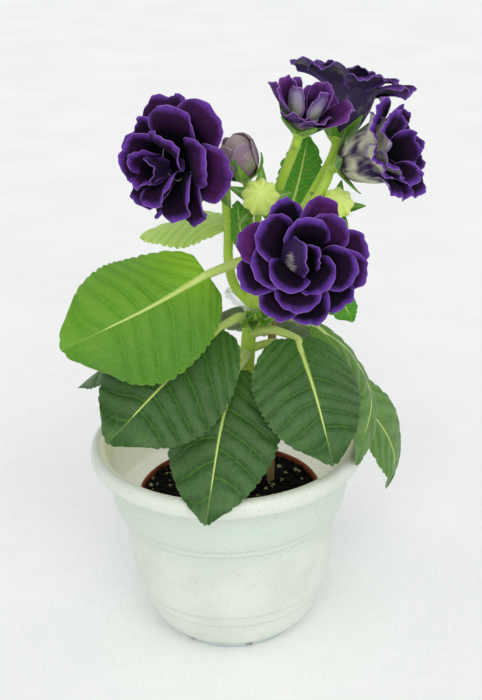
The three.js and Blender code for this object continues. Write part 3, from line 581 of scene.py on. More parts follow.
# ---------------------------------------------------------------- stake and tie
# A flat stake of split wood stands in the soil beside the stem. A strap of clear film holds the stem
# and a stalk to it.
STAKE_FOOT, STAKE_HEAD = np.array([19.5, 10.8, 22]), np.array([24.0, 5.0, 163])
STAKE_STEPS = 60
split_wood, tree, shader = finish("split_wood", Roughness=0.7)
along = node(tree, "ShaderNodeMapping", {"Vector": here(tree), "Scale": (1, 1, 0.035)}).outputs[0]
grain = noise(tree, 1700, 4, along)
wood = blend(tree, fade(tree, grain, 0.35, 0.65), srgb(140, 114, 70), srgb(184, 160, 114))
dress(tree, shader, wood, grain, 0.5, 0.0004)
section = np.array([
    (-2, -0.9), (-1.6, -1.3), (1.6, -1.3), (2, -0.9), (2, 0.9), (1.6, 1.3), (-1.6, 1.3), (-2, 0.9),
])
heights = np.linspace(0, 1, STAKE_STEPS)
centres = STAKE_FOOT + heights[:, None] * (STAKE_HEAD - STAKE_FOOT)
shrink = np.where(heights > 0.99, 0.75, 1)[:, None, None]
uneven = 1 + 0.03 * np.sin(9 * heights + 1)[:, None, None]
flat = np.concatenate([section * shrink * uneven, np.zeros((STAKE_STEPS, len(section), 1))], axis=-1)
piece("wooden_stake", [tube_shell(centres[:, None] + flat)], split_wood, "stake_wood", "stake")

TIE_PATH = [
    (29.3, 5.5, 161), (20, -3.4, 167), (12, -6, 172), (4.4, -3, 177), (2.2, 4.5, 178), (7, 8.4, 175),
    (19, 10, 166),
]
TIE_MIDDLE = np.array([14, 2, 171])
TIE_STEPS = 140
clear_film, tree, shader = finish("clear_film", Roughness=0.18, Alpha=0.3, Specular_IOR_Level=0.7)
crease = noise(tree, 260)
film = blend(tree, fade(tree, crease, 0.4, 0.62), srgb(196, 208, 202), srgb(244, 247, 245))
dress(tree, shader, film, crease, 0.6, 0.001)
loop = spine(TIE_PATH[-2:] + TIE_PATH + TIE_PATH[:3])
t = (2 + np.arange(TIE_STEPS) / TIE_STEPS * len(TIE_PATH)) / (len(TIE_PATH) + 4)
centres = loop(t)
way = unit(loop(t + 1e-3) - loop(t - 1e-3))
out = unit(np.cross(np.cross(centres - TIE_MIDDLE, way), way))
out = np.where(np.einsum("ij,ij->i", out, centres - TIE_MIDDLE)[:, None] < 0, -out, out)
along = np.cross(out, way)
flutter = 0.35 * np.sin(np.arange(TIE_STEPS) * 0.5)[:, None]
corners = [(-0.14, -1.4), (0.14, -1.4), (0.14, 0), (0.14, 1.4), (-0.14, 1.4), (-0.14, 0)]
rings = np.stack([
    centres + out * (x + 0.25 * flutter * (y > 0)) + along * (y + flutter) for x, y in corners
], axis=1)
index = np.arange(TIE_STEPS * len(corners)).reshape(TIE_STEPS, len(corners))
after, beside = np.roll(index, -1, axis=0), np.roll(index, -1, axis=1)
quads = np.stack([index, beside, np.roll(beside, -1, axis=0), after], axis=-1)
piece("clear_tie", [shell(rings.reshape(-1, 3), quads)], clear_film, "clear_film", "tie")


# ---------------------------------------------------------------- leaves
# Thick, quilted, scalloped leaves on fleshy petioles, all grown from the stem. The older ones are dark
# with a dull bluish down; the two upper ones on the left are fresh green.
BLADE = 0.7
RIPPLE = 0.9
VEIN_PAIRS = 6.5
VEIN_SWEEP = 0.42
VEIN_WOBBLE = 0.12
TIP_BULGE = 0.8
CROWDING = 1.35


def smooth(value):
    value = np.clip(value, 0, 1)
    return value * value * (3 - 2 * value)


def sheet(front, back, **marks):
    """A closed thin shell between two grids of points."""
    rows, columns = front.shape[:2]
    index = np.arange(rows * columns).reshape(rows, columns)
    size = rows * columns

    def cells(grid):
        return np.stack([grid[:-1, :-1], grid[:-1, 1:], grid[1:, 1:], grid[1:, :-1]], axis=-1).reshape(-1, 4)
    rim = np.concatenate([index[0, :-1], index[:-1, -1], index[-1, :0:-1], index[:0:-1, 0]])
    after = np.roll(rim, -1)
    wall = np.stack([after, rim, rim + size, after + size], axis=-1)
    quads = np.vstack([cells(index), cells(index + size)[:, ::-1], wall])
    spread = {key: np.vstack([v[0].reshape(-1, 3), v[1].reshape(-1, 3)]) for key, v in marks.items()}
    return shell(np.vstack([front.reshape(-1, 3), back.reshape(-1, 3)]), quads, **spread)


def from_edge_to_edge(columns):
    """Places across a blade from -1 to 1, which crowd towards its edges."""
    return np.sin(np.linspace(-1, 1, columns + 1) * CROWDING)[None, :] / math.sin(CROWDING)


def place_marks(s, v):
    """The place along and across a blade and the side that is meant, for its front and its back."""
    ones = np.ones_like(s * v)
    return [np.stack([s * ones, v * ones, under * ones], axis=-1) for under in (0, 1)]


def heading(curve, t):
    t = np.asarray(t, float)
    return unit(curve(np.minimum(t + 1e-3, 1)) - curve(np.maximum(t - 1e-3, 0)))


def axes(leaf, s):
    """The directions along and across a leaf and out of its face."""
    tangent = heading(spine(leaf["rib"]), s)
    across = unit(np.cross(tangent, unit(np.array(leaf["face"], float))))
    return tangent, across, np.cross(across, tangent)


def leaf_blade(leaf, rows, columns, quilt):
    """A leaf's blade: rib, face and width give its form, and teeth the scallops on each margin."""
    s = np.linspace(0, 1, rows)[:, None]
    v = from_edge_to_edge(columns)
    curve = spine(leaf["rib"])
    tangent, across, normal = axes(leaf, s[:, 0])
    width, side = leaf["width"], np.sign(v)
    swell = np.sin(math.pi * (0.02 + 0.96 * s) ** leaf.get("peak", 0.88)) ** leaf.get("blunt", 0.55)
    half = 0.5 + width / 2 * swell
    teeth = leaf.get("teeth", 19)
    bite = ((teeth * s + 0.25 * side + 0.4 * np.sin(8 * s + 2 * side + 3 * leaf.get("phase", 0))) % 1) ** 0.8
    uneven = 1 + 0.35 * np.sin(17 * s + 3 * side)
    scallop = leaf.get("scallop", 1.15) * uneven * (np.sin(math.pi * bite) ** 0.7 - 0.45)
    x = v * half + side * np.abs(v) ** 9 * scallop
    lift = leaf.get("fold", 0.1) * np.abs(x) - leaf.get("droop", 0.35) * x * x / (width / 2)
    lift = lift + RIPPLE * v**2 * np.sin(2 * math.pi * (1.6 * s + leaf.get("phase", 0)) + 1.3 * side)
    bow = VEIN_SWEEP * np.abs(v) * (0.4 + 0.6 * np.abs(v)) * (1.1 - s)
    phase = VEIN_PAIRS * (s - bow) + 0.25 * side + VEIN_WOBBLE * np.sin(3 * v + 11 * s)
    between = smooth(np.abs(phase - np.round(phase)) / 0.42)
    inner = smooth(np.abs(v) / 0.16) * (1 - 0.8 * smooth((np.abs(v) - 0.7) / 0.3)) * smooth((1 - s) / 0.15)
    lift = lift + quilt * (between - 0.6) * inner - 0.25 * (1 - smooth(np.abs(x) / 2.5))
    lift = lift + 0.22 * smooth(np.abs(v)) * np.sin(2 * math.pi * teeth * s / 2 + side)
    tip_teeth = leaf.get("scallop", 1.15) * (np.abs(np.sin(2.4 * math.pi * v + 0.9)) ** 0.7 - 0.45)
    tip = TIP_BULGE * half[-1] * smooth((s - 0.86) / 0.14) + tip_teeth * smooth((s - 0.93) / 0.07)
    reach = (1 - v**2) * tip
    base = curve(s[:, 0])[:, None] + across[:, None] * x[..., None] + tangent[:, None] * reach[..., None]
    margin = (1 - np.abs(v)) * half
    thick = BLADE / 2 * (0.4 + 0.6 * smooth(np.minimum(margin, np.minimum(s, 1 - s) * 60) / 1.2))
    front = base + normal[:, None] * (lift + thick)[..., None]
    back = base + normal[:, None] * (lift - thick)[..., None]
    length = np.linalg.norm(np.diff(curve(np.linspace(0, 1, 40)), axis=0), axis=1).sum()
    measure = np.stack([s * length + 0 * x, x, margin], axis=-1)
    return sheet(front, back, blade=place_marks(s, v), blade_mm=[measure, measure])


def petiole(leaf, sides=24, steps=70):
    """A fleshy petiole that runs on under the blade as its midrib."""
    thick = leaf.get("thick", 2.1)
    rib = spine(leaf["rib"])
    free = spine([*leaf["petiole"], leaf["rib"][0], rib(np.array(0.06)).tolist()])
    t = np.linspace(0, 1, steps)
    s = np.linspace(0.06, 0.93, steps)[1:]
    normal = axes(leaf, s)[2]
    under = thick * 0.55 * (1 - (s - 0.06) / 0.88) ** 1.1 + 0.2
    sunk = (under - 0.35 + 0.35 * smooth((s - 0.78) / 0.15)) * smooth((s - 0.06) / 0.1)
    centres = np.vstack([free(t), rib(s) - normal * sunk[:, None]])
    radii = np.concatenate([thick * (1 - 0.45 * t), under])
    pale = np.concatenate([0.55 + 0.3 * t, np.full(len(s), 0.8)])[:, None] * [0, 1, 0]
    return pipe(centres, radii, sides, skin=pale) | {"paint": 1}


def vein_group():
    """The veins of a leaf, from its place along and across the blade: midrib, laterals, net and rim."""
    inputs = {"Blade": "Vector", "Blade mm": "Vector", "Pairs": "Float", "Sweep": "Float",
              "Length": "Float", "Midrib width": "Float"}
    outputs = dict.fromkeys(("Midrib", "Lateral", "Net", "Rim", "Bulge"), "Float")
    tree, given = group("Leaf veins", "ShaderNodeTree", inputs, outputs)
    s, v, _ = parts(tree, given["Blade"])
    _, x, margin = parts(tree, given["Blade mm"])
    out = calc(tree, "ABSOLUTE", v)
    left = calc(tree, "SUBTRACT", 1.1, s)
    bow = calc(tree, "MULTIPLY", calc(tree, "MULTIPLY", out, calc(tree, "MULTIPLY_ADD", out, 0.6, 0.4)), left)
    place = calc(tree, "SUBTRACT", s, calc(tree, "MULTIPLY", bow, given["Sweep"]))
    paired = calc(tree, "MULTIPLY", place, given["Pairs"])
    shifted = calc(tree, "MULTIPLY_ADD", calc(tree, "SIGN", v), 0.25, paired)
    bends = calc(tree, "SINE", calc(tree, "MULTIPLY_ADD", v, 3.0, calc(tree, "MULTIPLY", s, 11.0)))
    shifted = calc(tree, "MULTIPLY_ADD", bends, VEIN_WOBBLE, shifted)
    off = calc(tree, "DIVIDE", calc(tree, "PINGPONG", shifted, 0.5), given["Pairs"])
    far = calc(tree, "MULTIPLY", off, given["Length"])
    narrowing = calc(tree, "MULTIPLY", calc(tree, "SUBTRACT", 1.0, out), left)
    broad = calc(tree, "MULTIPLY_ADD", narrowing, 0.3, 0.04)
    lateral = fade(tree, calc(tree, "SUBTRACT", far, broad), -0.1, 0.75, 1.0, 0.0)
    # bulge is 0 at the lateral veins and 1 on the tissue between them; the leaf finishes use it for painted
    # shade in the valleys and painted highlight and sheen on the bulges
    bulge = fade(tree, calc(tree, "MULTIPLY", off, given["Pairs"]), 0.02, 0.36)
    lateral = calc(tree, "MULTIPLY", lateral, fade(tree, out, 0.7, 0.98, 1.0, 0.1))
    lateral = calc(tree, "MULTIPLY", lateral, fade(tree, s, 0.86, 0.97, 1.0, 0.0))
    taper = calc(tree, "POWER", calc(tree, "MAXIMUM", calc(tree, "SUBTRACT", 0.97, s), 0.001), 1.5)
    narrow = calc(tree, "MULTIPLY_ADD", taper, given["Midrib width"], 0.1)
    midrib = fade(tree, calc(tree, "SUBTRACT", calc(tree, "ABSOLUTE", x), narrow), -0.2, 0.45, 1.0, 0.0)
    midrib = calc(tree, "MULTIPLY", midrib, fade(tree, s, 0.8, 0.98, 0.9, 0.15))
    wander = node(tree, "ShaderNodeTexNoise", {"Vector": given["Blade mm"], "Scale": 0.4}).outputs["Color"]
    moved = node(tree, "ShaderNodeVectorMath", {0: wander, 1: (1.6, 1.6, 0), 2: given["Blade mm"]},
                 operation="MULTIPLY_ADD").outputs[0]
    flat = node(tree, "ShaderNodeVectorMath", {0: moved, 1: (1, 1, 0)}, operation="MULTIPLY").outputs[0]
    cells = node(tree, "ShaderNodeTexVoronoi", {"Vector": flat, "Scale": 0.3}, feature="DISTANCE_TO_EDGE")
    net = fade(tree, cells.outputs["Distance"], 0.01, 0.1, 1.0, 0.0)
    rim = fade(tree, margin, 0.15, 0.9, 1.0, 0.0)
    found = {"Midrib": midrib, "Lateral": lateral, "Net": net, "Rim": rim, "Bulge": bulge}
    node(tree, "NodeGroupOutput", found)
    return tree


VEINS = vein_group()


def leaf_finish(name, colours, length, midrib_width, vein_strength, half=None):
    """colours are deep, light, base, vein, midrib and underside; deep and light give painted shade in the
    valleys between the veins and painted highlight on the bulges, mixed by the down's mottle. half is a
    painted shade on the lower half of the blade, which turns away from the light.
    """
    deep, light, base, vein, midrib, underside = (srgb(*colour) for colour in colours)
    material, tree, shader = finish(name, Roughness=0.5, Sheen_Weight=0.06, Sheen_Roughness=0.45,
                                    Sheen_Tint=(0.8, 0.9, 0.8, 1), Specular_IOR_Level=0.26,
                                    Subsurface_Weight=0.08, Subsurface_Radius=(0.0006, 0.0012, 0.0003))
    blade = read_mark(tree, "blade")
    s, v, under = parts(tree, blade)
    veins = node(tree, "ShaderNodeGroup", {
        "Blade": blade, "Blade mm": read_mark(tree, "blade_mm"), "Pairs": VEIN_PAIRS, "Sweep": VEIN_SWEEP,
        "Length": length, "Midrib width": midrib_width}, node_tree=VEINS).outputs
    skin = downy(tree, 1500, 45)
    # painted shade and highlight: deep in the valleys by the veins, light on the bulges between them, mixed
    # with the down's mottle
    painted_bulge_light_and_mottle = calc(tree, "MULTIPLY_ADD", veins["Bulge"], 0.6, calc(tree, "MULTIPLY", skin["Mottle"], 0.4))
    # painted shade: the lower half of the blade darker, as it turns away from the light
    painted_lower_half_shade = [(fade(tree, v, -0.9, 0.3, 0.6, 0.0), srgb(*half))] if half else []
    colour = layered(
        tree, blend(tree, painted_bulge_light_and_mottle, deep, light), (fade(tree, s, 0.0, 0.45, 0.55, 0.0), base), *painted_lower_half_shade,
        (calc(tree, "MULTIPLY", veins["Net"], 0.5 * vein_strength), vein),
        (calc(tree, "MULTIPLY", veins["Lateral"], vein_strength), vein),
        (calc(tree, "MULTIPLY", veins["Rim"], 0.4), light), (veins["Midrib"], midrib), (under, underside))
    sunken = calc(tree, "MAXIMUM", veins["Lateral"], calc(tree, "MULTIPLY", veins["Net"], 0.5))
    raised = calc(tree, "MULTIPLY_ADD", sunken, -0.8, calc(tree, "MULTIPLY", skin["Height"], 0.35))
    dress(tree, shader, colour, raised, 0.55, 0.0005)
    return material


# In each leaf finish the first two colours are the painted shade of the valleys and the painted highlight of
# the bulges.
leaf_dark = leaf_finish("leaf_dark", (
    (26, 68, 10), (70, 104, 58), (58, 112, 18), (90, 138, 48), (160, 190, 84), (126, 150, 98),
), 72, 1.35, 0.42)
# leaf_bright's last colour is the painted shade of its lower half.
leaf_bright = leaf_finish("leaf_bright", (
    (76, 134, 8), (104, 154, 40), (142, 194, 28), (132, 176, 62), (178, 204, 100), (150, 176, 110),
), 78, 1.7, 0.28, (52, 108, 22))
leaf_young = leaf_finish("leaf_young", (
    (158, 200, 76), (194, 226, 116), (182, 216, 90), (202, 230, 134), (220, 238, 148), (190, 218, 112),
), 48, 0.9, 0.5)
leaf_side = leaf_finish("leaf_side", (
    (64, 108, 26), (96, 136, 66), (108, 156, 40), (112, 154, 66), (120, 160, 70), (126, 150, 98),
), 72, 0.7, 0.35)
leaf_small = leaf_finish("leaf_small", (
    (42, 118, 4), (76, 150, 28), (92, 168, 14), (136, 186, 72), (168, 206, 92), (120, 160, 70),
), 30, 0.7, 0.45)
LEAF_FINISHES = {"leaflet_upper": leaf_small, "leaflet_right": leaf_small, "leaflet_left": leaf_small,
                 "leaf_left_back": leaf_young, "leaf_right_side": leaf_side, "leaf_right_hanging": leaf_side}

LEAVES = {
    "leaf_left_upper": {
        "petiole": [(14, 0, 192), (9.3, -6, 195.8)],
        "rib": [(-6, -15.5, 193.8), (-32, -30, 184.8), (-59.5, -40.5, 175.8)],
        "face": (0, -0.72, 0.72), "width": 62, "blunt": 0.27, "peak": 1.35, "thick": 2.8, "teeth": 16,
        "bright": True},
    "leaf_left_lower": {
        "petiole": [(12, -1, 163), (8, -7, 168.5)],
        "rib": [(-1, -16, 167.5), (-26.6, -38.5, 151.5), (-47.6, -54, 136)],
        "face": (-0.1, -0.66, 0.75), "width": 57, "blunt": 0.4, "peak": 1.08, "droop": 0.24, "thick": 2.6,
        "phase": 0.3},
    "leaf_front": {
        "petiole": [(11, 0, 147), (9.5, -14, 150.5)],
        "rib": [(6, -24, 149.5), (-2.5, -46, 131.6), (-10.5, -71, 100)],
        "face": (-0.2, -0.75, 0.62), "width": 51.5, "blunt": 0.62, "peak": 1, "thick": 2.4, "phase": 0.6},
    "leaf_right_front": {
        "petiole": [(13, 0, 157), (23, -12, 163.5)],
        "rib": [(34, -21, 162.5), (40.3, -45, 145.5), (45.8, -58, 122.5)],
        "face": (0.3, -0.62, 0.72), "width": 51, "blunt": 0.44, "peak": 0.84, "thick": 2.4, "phase": 0.1},
    "leaf_right_side": {
        "petiole": [(14, 0, 172), (28, 0, 168)],
        "rib": [(42, -1, 161), (60, -4, 147), (70, -10, 124), (61, -33, 105)],
        "face": (0.9, -0.1, 0.42), "width": 36, "thick": 2.5, "phase": 0.45},
    "leaf_right_hanging": {
        "petiole": [(12, 0, 149), (25, -0.5, 152), (39, 3, 145)],
        "rib": [(52, 10, 130), (75.5, 12, 102), (85, 14, 80), (82.5, 15, 64)],
        "face": (0.9, -0.35, 0.25), "width": 41, "droop": 0.1, "phase": 0.8},
    "leaf_left_back": {
        "petiole": [(13, 2, 187), (11, 9, 202)], "rib": [(7, 14, 208), (-14, 25, 206), (-36, 35, 197)],
        "face": (0, -0.25, 1), "width": 30, "thick": 1.8, "phase": 0.2, "teeth": 14, "bright": True},
    "leaf_back": {
        "petiole": [(11, 1, 152), (13, 18, 158)], "rib": [(16, 32, 157), (20, 56, 147), (22, 82, 122)],
        "face": (0.05, 0.5, 0.86), "width": 50, "phase": 0.7},
    "leaf_back_left": {
        "petiole": [(11, 1, 142), (0, 12, 152)], "rib": [(-14, 20, 153), (-43, 30, 142), (-68, 36, 121)],
        "face": (-0.35, 0.2, 0.9), "width": 50, "blunt": 0.28, "phase": 0.55},
    "leaf_back_right": {
        "petiole": [(13, 1, 160), (24, 21, 158)], "rib": [(36, 32, 150), (47, 46, 136), (54, 58, 106)],
        "face": (0.6, 0.5, 0.6), "width": 38, "phase": 0.25},
    "leaflet_upper": {
        "petiole": [(15, 1, 192), (24, 12, 203)], "rib": [(35, 22, 211), (40, 28, 226), (44, 32, 242)],
        "face": (-0.1, -0.95, 0.2), "width": 19.4, "thick": 1.4, "droop": 0.2, "teeth": 9, "scallop": 1.3,
        "bright": True},
    "leaflet_right": {
        "petiole": [(14, 1, 182), (33, 10.5, 182.5)], "rib": [(49, 12, 178), (56, 9, 171), (62, 5, 161)],
        "face": (0.3, -0.6, 0.7), "width": 19, "thick": 1.4, "teeth": 8, "scallop": 1.3, "bright": True},
    "leaflet_left": {
        "petiole": [(15, -1, 186), (13.8, -1, 193)], "rib": [(12, -1, 198), (10.1, -1, 210), (9.2, 0, 222)],
        "face": (-0.5, -0.8, 0.2), "width": 9, "thick": 1.1, "droop": 0.1, "teeth": 8, "scallop": 0.9,
        "bright": True},
}
downy_shells = [stem]
for name, leaf in LEAVES.items():
    bright = leaf.get("bright", False)
    small = name.startswith("leaflet")
    rows, columns, quilt = (90, 40, 0.3) if small else (170, 60, 0.4 if bright else 0.8)
    blade = leaf_blade(leaf, rows, columns, quilt)
    finish_here = LEAF_FINISHES.get(name, leaf_bright if bright else leaf_dark)
    downy_shells.append(petiole(leaf))
    piece(name + "_blade", [blade, downy_shells[-1]], [finish_here, stem_green],
          "leaf_bright" if bright else "leaf_dark", name)


# ---------------------------------------------------------------- young shoot
# A tuft of unfolding leaves in the axil above the lower leaves.
SHOOT_FOOT = np.array([16, -5, 163])
SHOOT_LEAVES = [
    ((9.5, -15.5, 167), (-0.3, -0.6, 0.7), 6), ((15, -15, 174), (0, -0.9, 0.3), 6),
    ((23.5, -13.5, 171), (0.5, -0.6, 0.6), 6), ((12, -10, 172), (-0.2, -0.9, 0.1), 3.5),
    ((19, -10, 172.5), (0.3, -0.9, 0.2), 3.5),
]
KNUCKLE_STEPS = 20
tuft = []
for tip, face, width in SHOOT_LEAVES:
    reach = np.array(tip) - SHOOT_FOOT
    young = {
        "rib": [SHOOT_FOOT + 0.2 * reach, SHOOT_FOOT + 0.55 * reach + [0, -1.5, 1], tip],
        "face": face, "width": width, "droop": 0.1, "teeth": 6, "scallop": 0.5, "fold": 0.35,
    }
    tuft.append(leaf_blade(young, 50, 24, 0.15))
knuckle = spine([(13.5, -1, 162), SHOOT_FOOT, (16.5, -8.5, 166.5)])(np.linspace(0, 1, KNUCKLE_STEPS))
paled = np.ones((KNUCKLE_STEPS, 1)) * [0, 0.4, 0]
tuft.append(pipe(knuckle, np.linspace(1.7, 1.1, KNUCKLE_STEPS), 20, skin=paled) | {"paint": 1})
piece("young_tuft", tuft, [leaf_bright, stem_green], "leaf_bright", "young_shoot")


# ---------------------------------------------------------------- blooms
# Double blooms: a corolla tube that flares from the calyx, with velvety petals in whorls in its mouth.
# Each petal is near black in the middle, violet towards its rim, and edged with a pale line.
CLAW = 0.34
ROUNDING = 0.24
PETAL = 0.55
THROAT_OUTLINE = [(0, 0.3), (0.08, 0.5), (0.22, 0.68), (0.6, 0.92), (0.95, 1.0), (1.06, 0.97)]


def bloom_frame(bloom):
    out = unit(np.array(bloom["axis"], float))
    up = np.array(bloom.get("up", (0, 0, 1)), float)
    high = unit(up - out * up.dot(out))
    return {"foot": np.array(bloom["foot"], float), "out": out, "high": high, "right": np.cross(high, out),
            "bend": np.array(bloom.get("bend", (0, 0, 0)), float)}


def at_turn(base, turn):
    """The way out to the side of a bloom's axis, at turns round it."""
    turn = np.asarray(turn)[..., None]
    return np.cos(turn) * base["high"] + np.sin(turn) * base["right"]


def arched(base, root, clock, lean, length, start, rise, along):
    """Places along an arc that bends from one lean to another, and the ways to its side and inwards."""
    away, out = at_turn(base, math.radians(clock)), base["out"]
    first, last = np.radians(lean)
    bend = (last - first) / length
    angle = first + bend * along
    radius = start + (math.cos(first) - np.cos(angle)) / bend
    height = rise + (np.sin(angle) - math.sin(first)) / bend
    inward = out * np.sin(angle)[..., None] - away * np.cos(angle)[..., None]
    return root + away * radius[..., None] + out * height[..., None], np.cross(out, away), inward


def petal_sheet(base, petal, rows=40, columns=36):
    roll = math.radians(petal["roll"])
    s = (np.linspace(0, 1, rows) ** 0.85)[:, None]
    v = from_edge_to_edge(columns)
    phase = petal["phase"]
    scallops = petal["frill"] * s**6 * (np.sin(5 * v + phase) + 0.6 * np.sin(11 * v + 2 * phase))
    along = s * petal["length"] * (1 - ROUNDING * np.abs(v) ** 2.5) + scallops
    spread = CLAW + (1 - CLAW) * np.sin(math.pi / 2 * np.minimum(1, s / 0.7))
    half = petal["width"] / 2 * spread * (1 - 0.1 * s**6)
    curl = petal["cup"] / (petal["width"] / 2)
    rim = np.minimum((1 - s) * petal["length"] * 0.95, (1 - np.abs(v)) * half)
    waves = math.pi * petal["waves"] * v
    wave = petal["ruffle"] * s * s * np.sin(waves + phase)
    wave = wave + 0.3 * petal["ruffle"] * s**3 * np.sin(3.4 * waves + 2 * phase)
    wave = wave - petal["lip"] * (1 - smooth(rim / 3.2)) ** 2
    x = np.sin(curl * v * half) / curl
    y = (1 - np.cos(curl * v * half)) / curl + wave
    root = base["foot"] + base["bend"] + base["right"] * petal["shift"][0] + base["high"] * petal["shift"][1]
    middle, side, inward = arched(base, root, petal["clock"], petal["lean"], petal["length"],
                                  petal["start"], petal["rise"], along)
    middle = (middle + side * (x * math.cos(roll) - y * math.sin(roll))[..., None]
              + inward * (x * math.sin(roll) + y * math.cos(roll))[..., None])
    normal = unit(np.cross(np.gradient(middle, axis=0), np.gradient(middle, axis=1)))
    thick = (PETAL / 2 * (0.3 + 0.7 * smooth(rim / 1.5)))[..., None]
    # a pale patch on the petal's back: spread wide it is the back's own paler colour; small, on the heart
    # petal of bloom_front, it is a painted highlight
    spot = np.exp(-((s - 0.5) / petal["spot"]) ** 2 - (v / (2 * petal["spot"])) ** 2)
    tint = np.stack([petal["flush"] + 0 * rim, petal["pale"] * spot, rim], axis=-1)
    faces = middle + normal * thick, middle - normal * thick
    return sheet(*faces, blade=place_marks(s, v), blade_mm=[tint, tint])


def draw(index, seed):
    value = math.sin(index * 12.9898 + seed * 78.233) * 43758.5453
    return value - math.floor(value)


def petals_of(bloom):
    """The petals of a bloom, whorl by whorl, with small repeatable differences between them."""
    for w, whorl in enumerate(bloom["whorls"]):
        for i, clock in enumerate(whorl["clocks"]):
            vary = [draw(7 * i + k, bloom["seed"] + w) - 0.5 for k in range(7)]
            flush = whorl.get("flush", 0.15)
            yield {
                "lip": 0.9, "frill": 0.42, "pale": bloom.get("pale", 0.5), "spot": 9.0, "shift": (0, 0),
                **whorl, "clock": clock, "roll": 10, "length": whorl["length"] * (1 + 0.08 * vary[1]),
                "width": whorl["width"] * (1 + 0.12 * vary[2]),
                "lean": (whorl["lean"][0], whorl["lean"][1] + 5 * vary[3]), "waves": 1.6 + vary[5],
                "phase": 6.3 * (vary[6] + 0.5), "flush": flush[i] if isinstance(flush, list) else flush,
            }


def throat(base, bloom, sides=60):
    """The hollow corolla tube, with soft ridges where its lobes join."""
    outline = spine(THROAT_OUTLINE)(np.linspace(0, 1, 40))
    inner = outline[::-1] - [0, 0.07]
    inner[-1] = [0.05, 0.05]
    walls = np.vstack([outline, inner])
    turn = np.linspace(0, 2 * math.pi, sides, endpoint=False)
    ridge = 1 + 0.035 * np.cos(6 * turn)
    lift = walls[:, 0] * bloom["tube"][0]
    reach = walls[:, 1:2] * bloom["tube"][1] * ridge
    centres = base["foot"] + lift[:, None] * base["out"] + smooth(walls[:, :1]) * base["bend"]
    grid = centres[:, None] + reach[..., None] * at_turn(base, turn)
    ones = np.ones((len(walls), sides))
    under = np.repeat([1.0, 0.0], [len(outline), len(inner)])[:, None] * ones
    blade = np.stack([walls[:, :1] * 0.9 * ones, turn * ones / math.pi - 1, under], axis=-1)
    tint = np.stack([0.1 * ones, bloom.get("tube_pale", 0.9) * ones, 6 * ones], axis=-1)
    return tube_shell(grid, blade=blade, blade_mm=tint)


def around(count, first):
    return [first + 360 * i / count for i in range(count)]


def petal_ring(clocks, start, rise, lean, length, width, cup, ruffle, **more):
    """A whorl: where its petals stand, root and lean from foot to tip, size, hollow and waves."""
    return {"clocks": clocks, "start": start, "rise": rise, "lean": lean, "length": length, "width": width,
            "cup": cup, "ruffle": ruffle, **more}


BLOOMS = {
    "bloom_front": {
        "foot": (34, -20, 201.7), "axis": (0.07, -0.94, 0.34), "tube": (19, 10.5), "seed": 11, "pale": 0.4,
        "whorls": [
            petal_ring([343, 28], 8.6, 17, (46, 92), 21, 17, 0.3, 1.1, flush=[0, 0.8]),
            petal_ring([291, 84, 110, 141, 175, 211, 254], 8.6, 17, (46, 94), 23, 20, 0.3, 1.1,
                       flush=[1, 0.3, 0.3, 0, 0, 0.1, 0.1]),
            petal_ring([309, 50, 112, 192, 258], 6.6, 17.5, (28, 74), 22, 21, 0.35, 1,
                       flush=[0.1, 0.4, 0.1, 0.1, 0.1]),
            petal_ring([14, 148, 226], 4.8, 17.5, (12, 68), 19.5, 21, 0.5, 0.9, flush=0.05),
            # this heart petal's small pale patch is a painted highlight on its back
            petal_ring([270], 9.5, 17.5, (-8, -62), 20, 22, 0.75, 1, flush=0.3, pale=0.45, spot=0.42),
            petal_ring([72], 5, 17.5, (-4, 10), 15, 18, 1.1, 1, flush=0.2),
        ]},
    "bloom_left": {
        "foot": (-1.8, -1, 236), "axis": (-0.66, -0.74, 0.12), "bend": (-2.6, 5, 8.4), "tube": (18, 9.5),
        "seed": 23, "pale": 0.0,
        "whorls": [
            petal_ring(around(6, 38), 8, 15, (50, 120), 24, 27, 0.3, 1.9,
                       flush=[0.4, 0.6, 0.2, 0.1, 0.1, 0.3]),
            petal_ring(around(5, 10), 6.5, 16, (34, 92), 22.5, 25, 0.35, 1.9,
                       shift=(-1.5, -1), flush=[0.3, 0.4, 0.1, 0.1, 0.1]),
            petal_ring(around(3, 40), 5, 17, (14, 62), 21, 24, 0.5, 1.7, shift=(-5, -2.5), flush=0.2),
            petal_ring(around(3, 80), 3.2, 16.5, (2, 26), 18.5, 15, 0.9, 1.3, shift=(-9.5, -5), flush=0.3),
        ]},
    "bloom_top": {
        "foot": (57, 15, 247.5), "axis": (0.29, 0.26, 0.92), "up": (0, 1, 0), "tube": (24, 12), "seed": 37,
        "pale": 0.28, "tube_pale": 0.44,
        "whorls": [
            petal_ring(around(7, 20), 10, 21.5, (50, 98), 21.5, 19, 0.25, 1.5, flush=0.3),
            petal_ring(around(5, 40), 7, 22, (34, 80), 16, 16, 0.35, 1.2),
        ]},
    "bloom_right": {
        "foot": (58, 3, 237), "axis": (0.81, -0.46, 0.37), "tube": (22, 12.8), "seed": 41,
        "pale": 0.95, "tube_pale": 0.56,
        "whorls": [
            petal_ring(around(7, 8), 10.5, 18.5, (26, 74), 18, 19, 0.3, 1.5),
            petal_ring(around(5, 30), 7, 20, (20, 58), 16, 17, 0.4, 1.5),
        ]},
    "bloom_small": {
        "foot": (37.8, -12, 258.5), "axis": (0.26, -0.15, 0.95), "up": (0, 1, 0), "tube": (7, 6.5),
        "seed": 53, "pale": 0.2, "tube_pale": 0.8,
        "whorls": [
            petal_ring([262, 322], 4.2, 5, (66, 16), 19, 17, 0.5, 1.5, flush=0.5),
            petal_ring([28, 98], 4.2, 5, (74, 30), 18.5, 19, 0.5, 1.5, flush=0.5),
            petal_ring([150, 207], 4.4, 4.5, (74, 34), 12, 16, 0.5, 1.1, flush=0.5),
            petal_ring([230, 148], 4.2, 5, (40, -12), 17.5, 12, 0.95, 0.8, flush=0.3, pale=0.8, spot=0.8),
            petal_ring([60, 290], 3, 6, (32, -2), 17, 15, 0.8, 1, flush=0.4),
        ]},
}


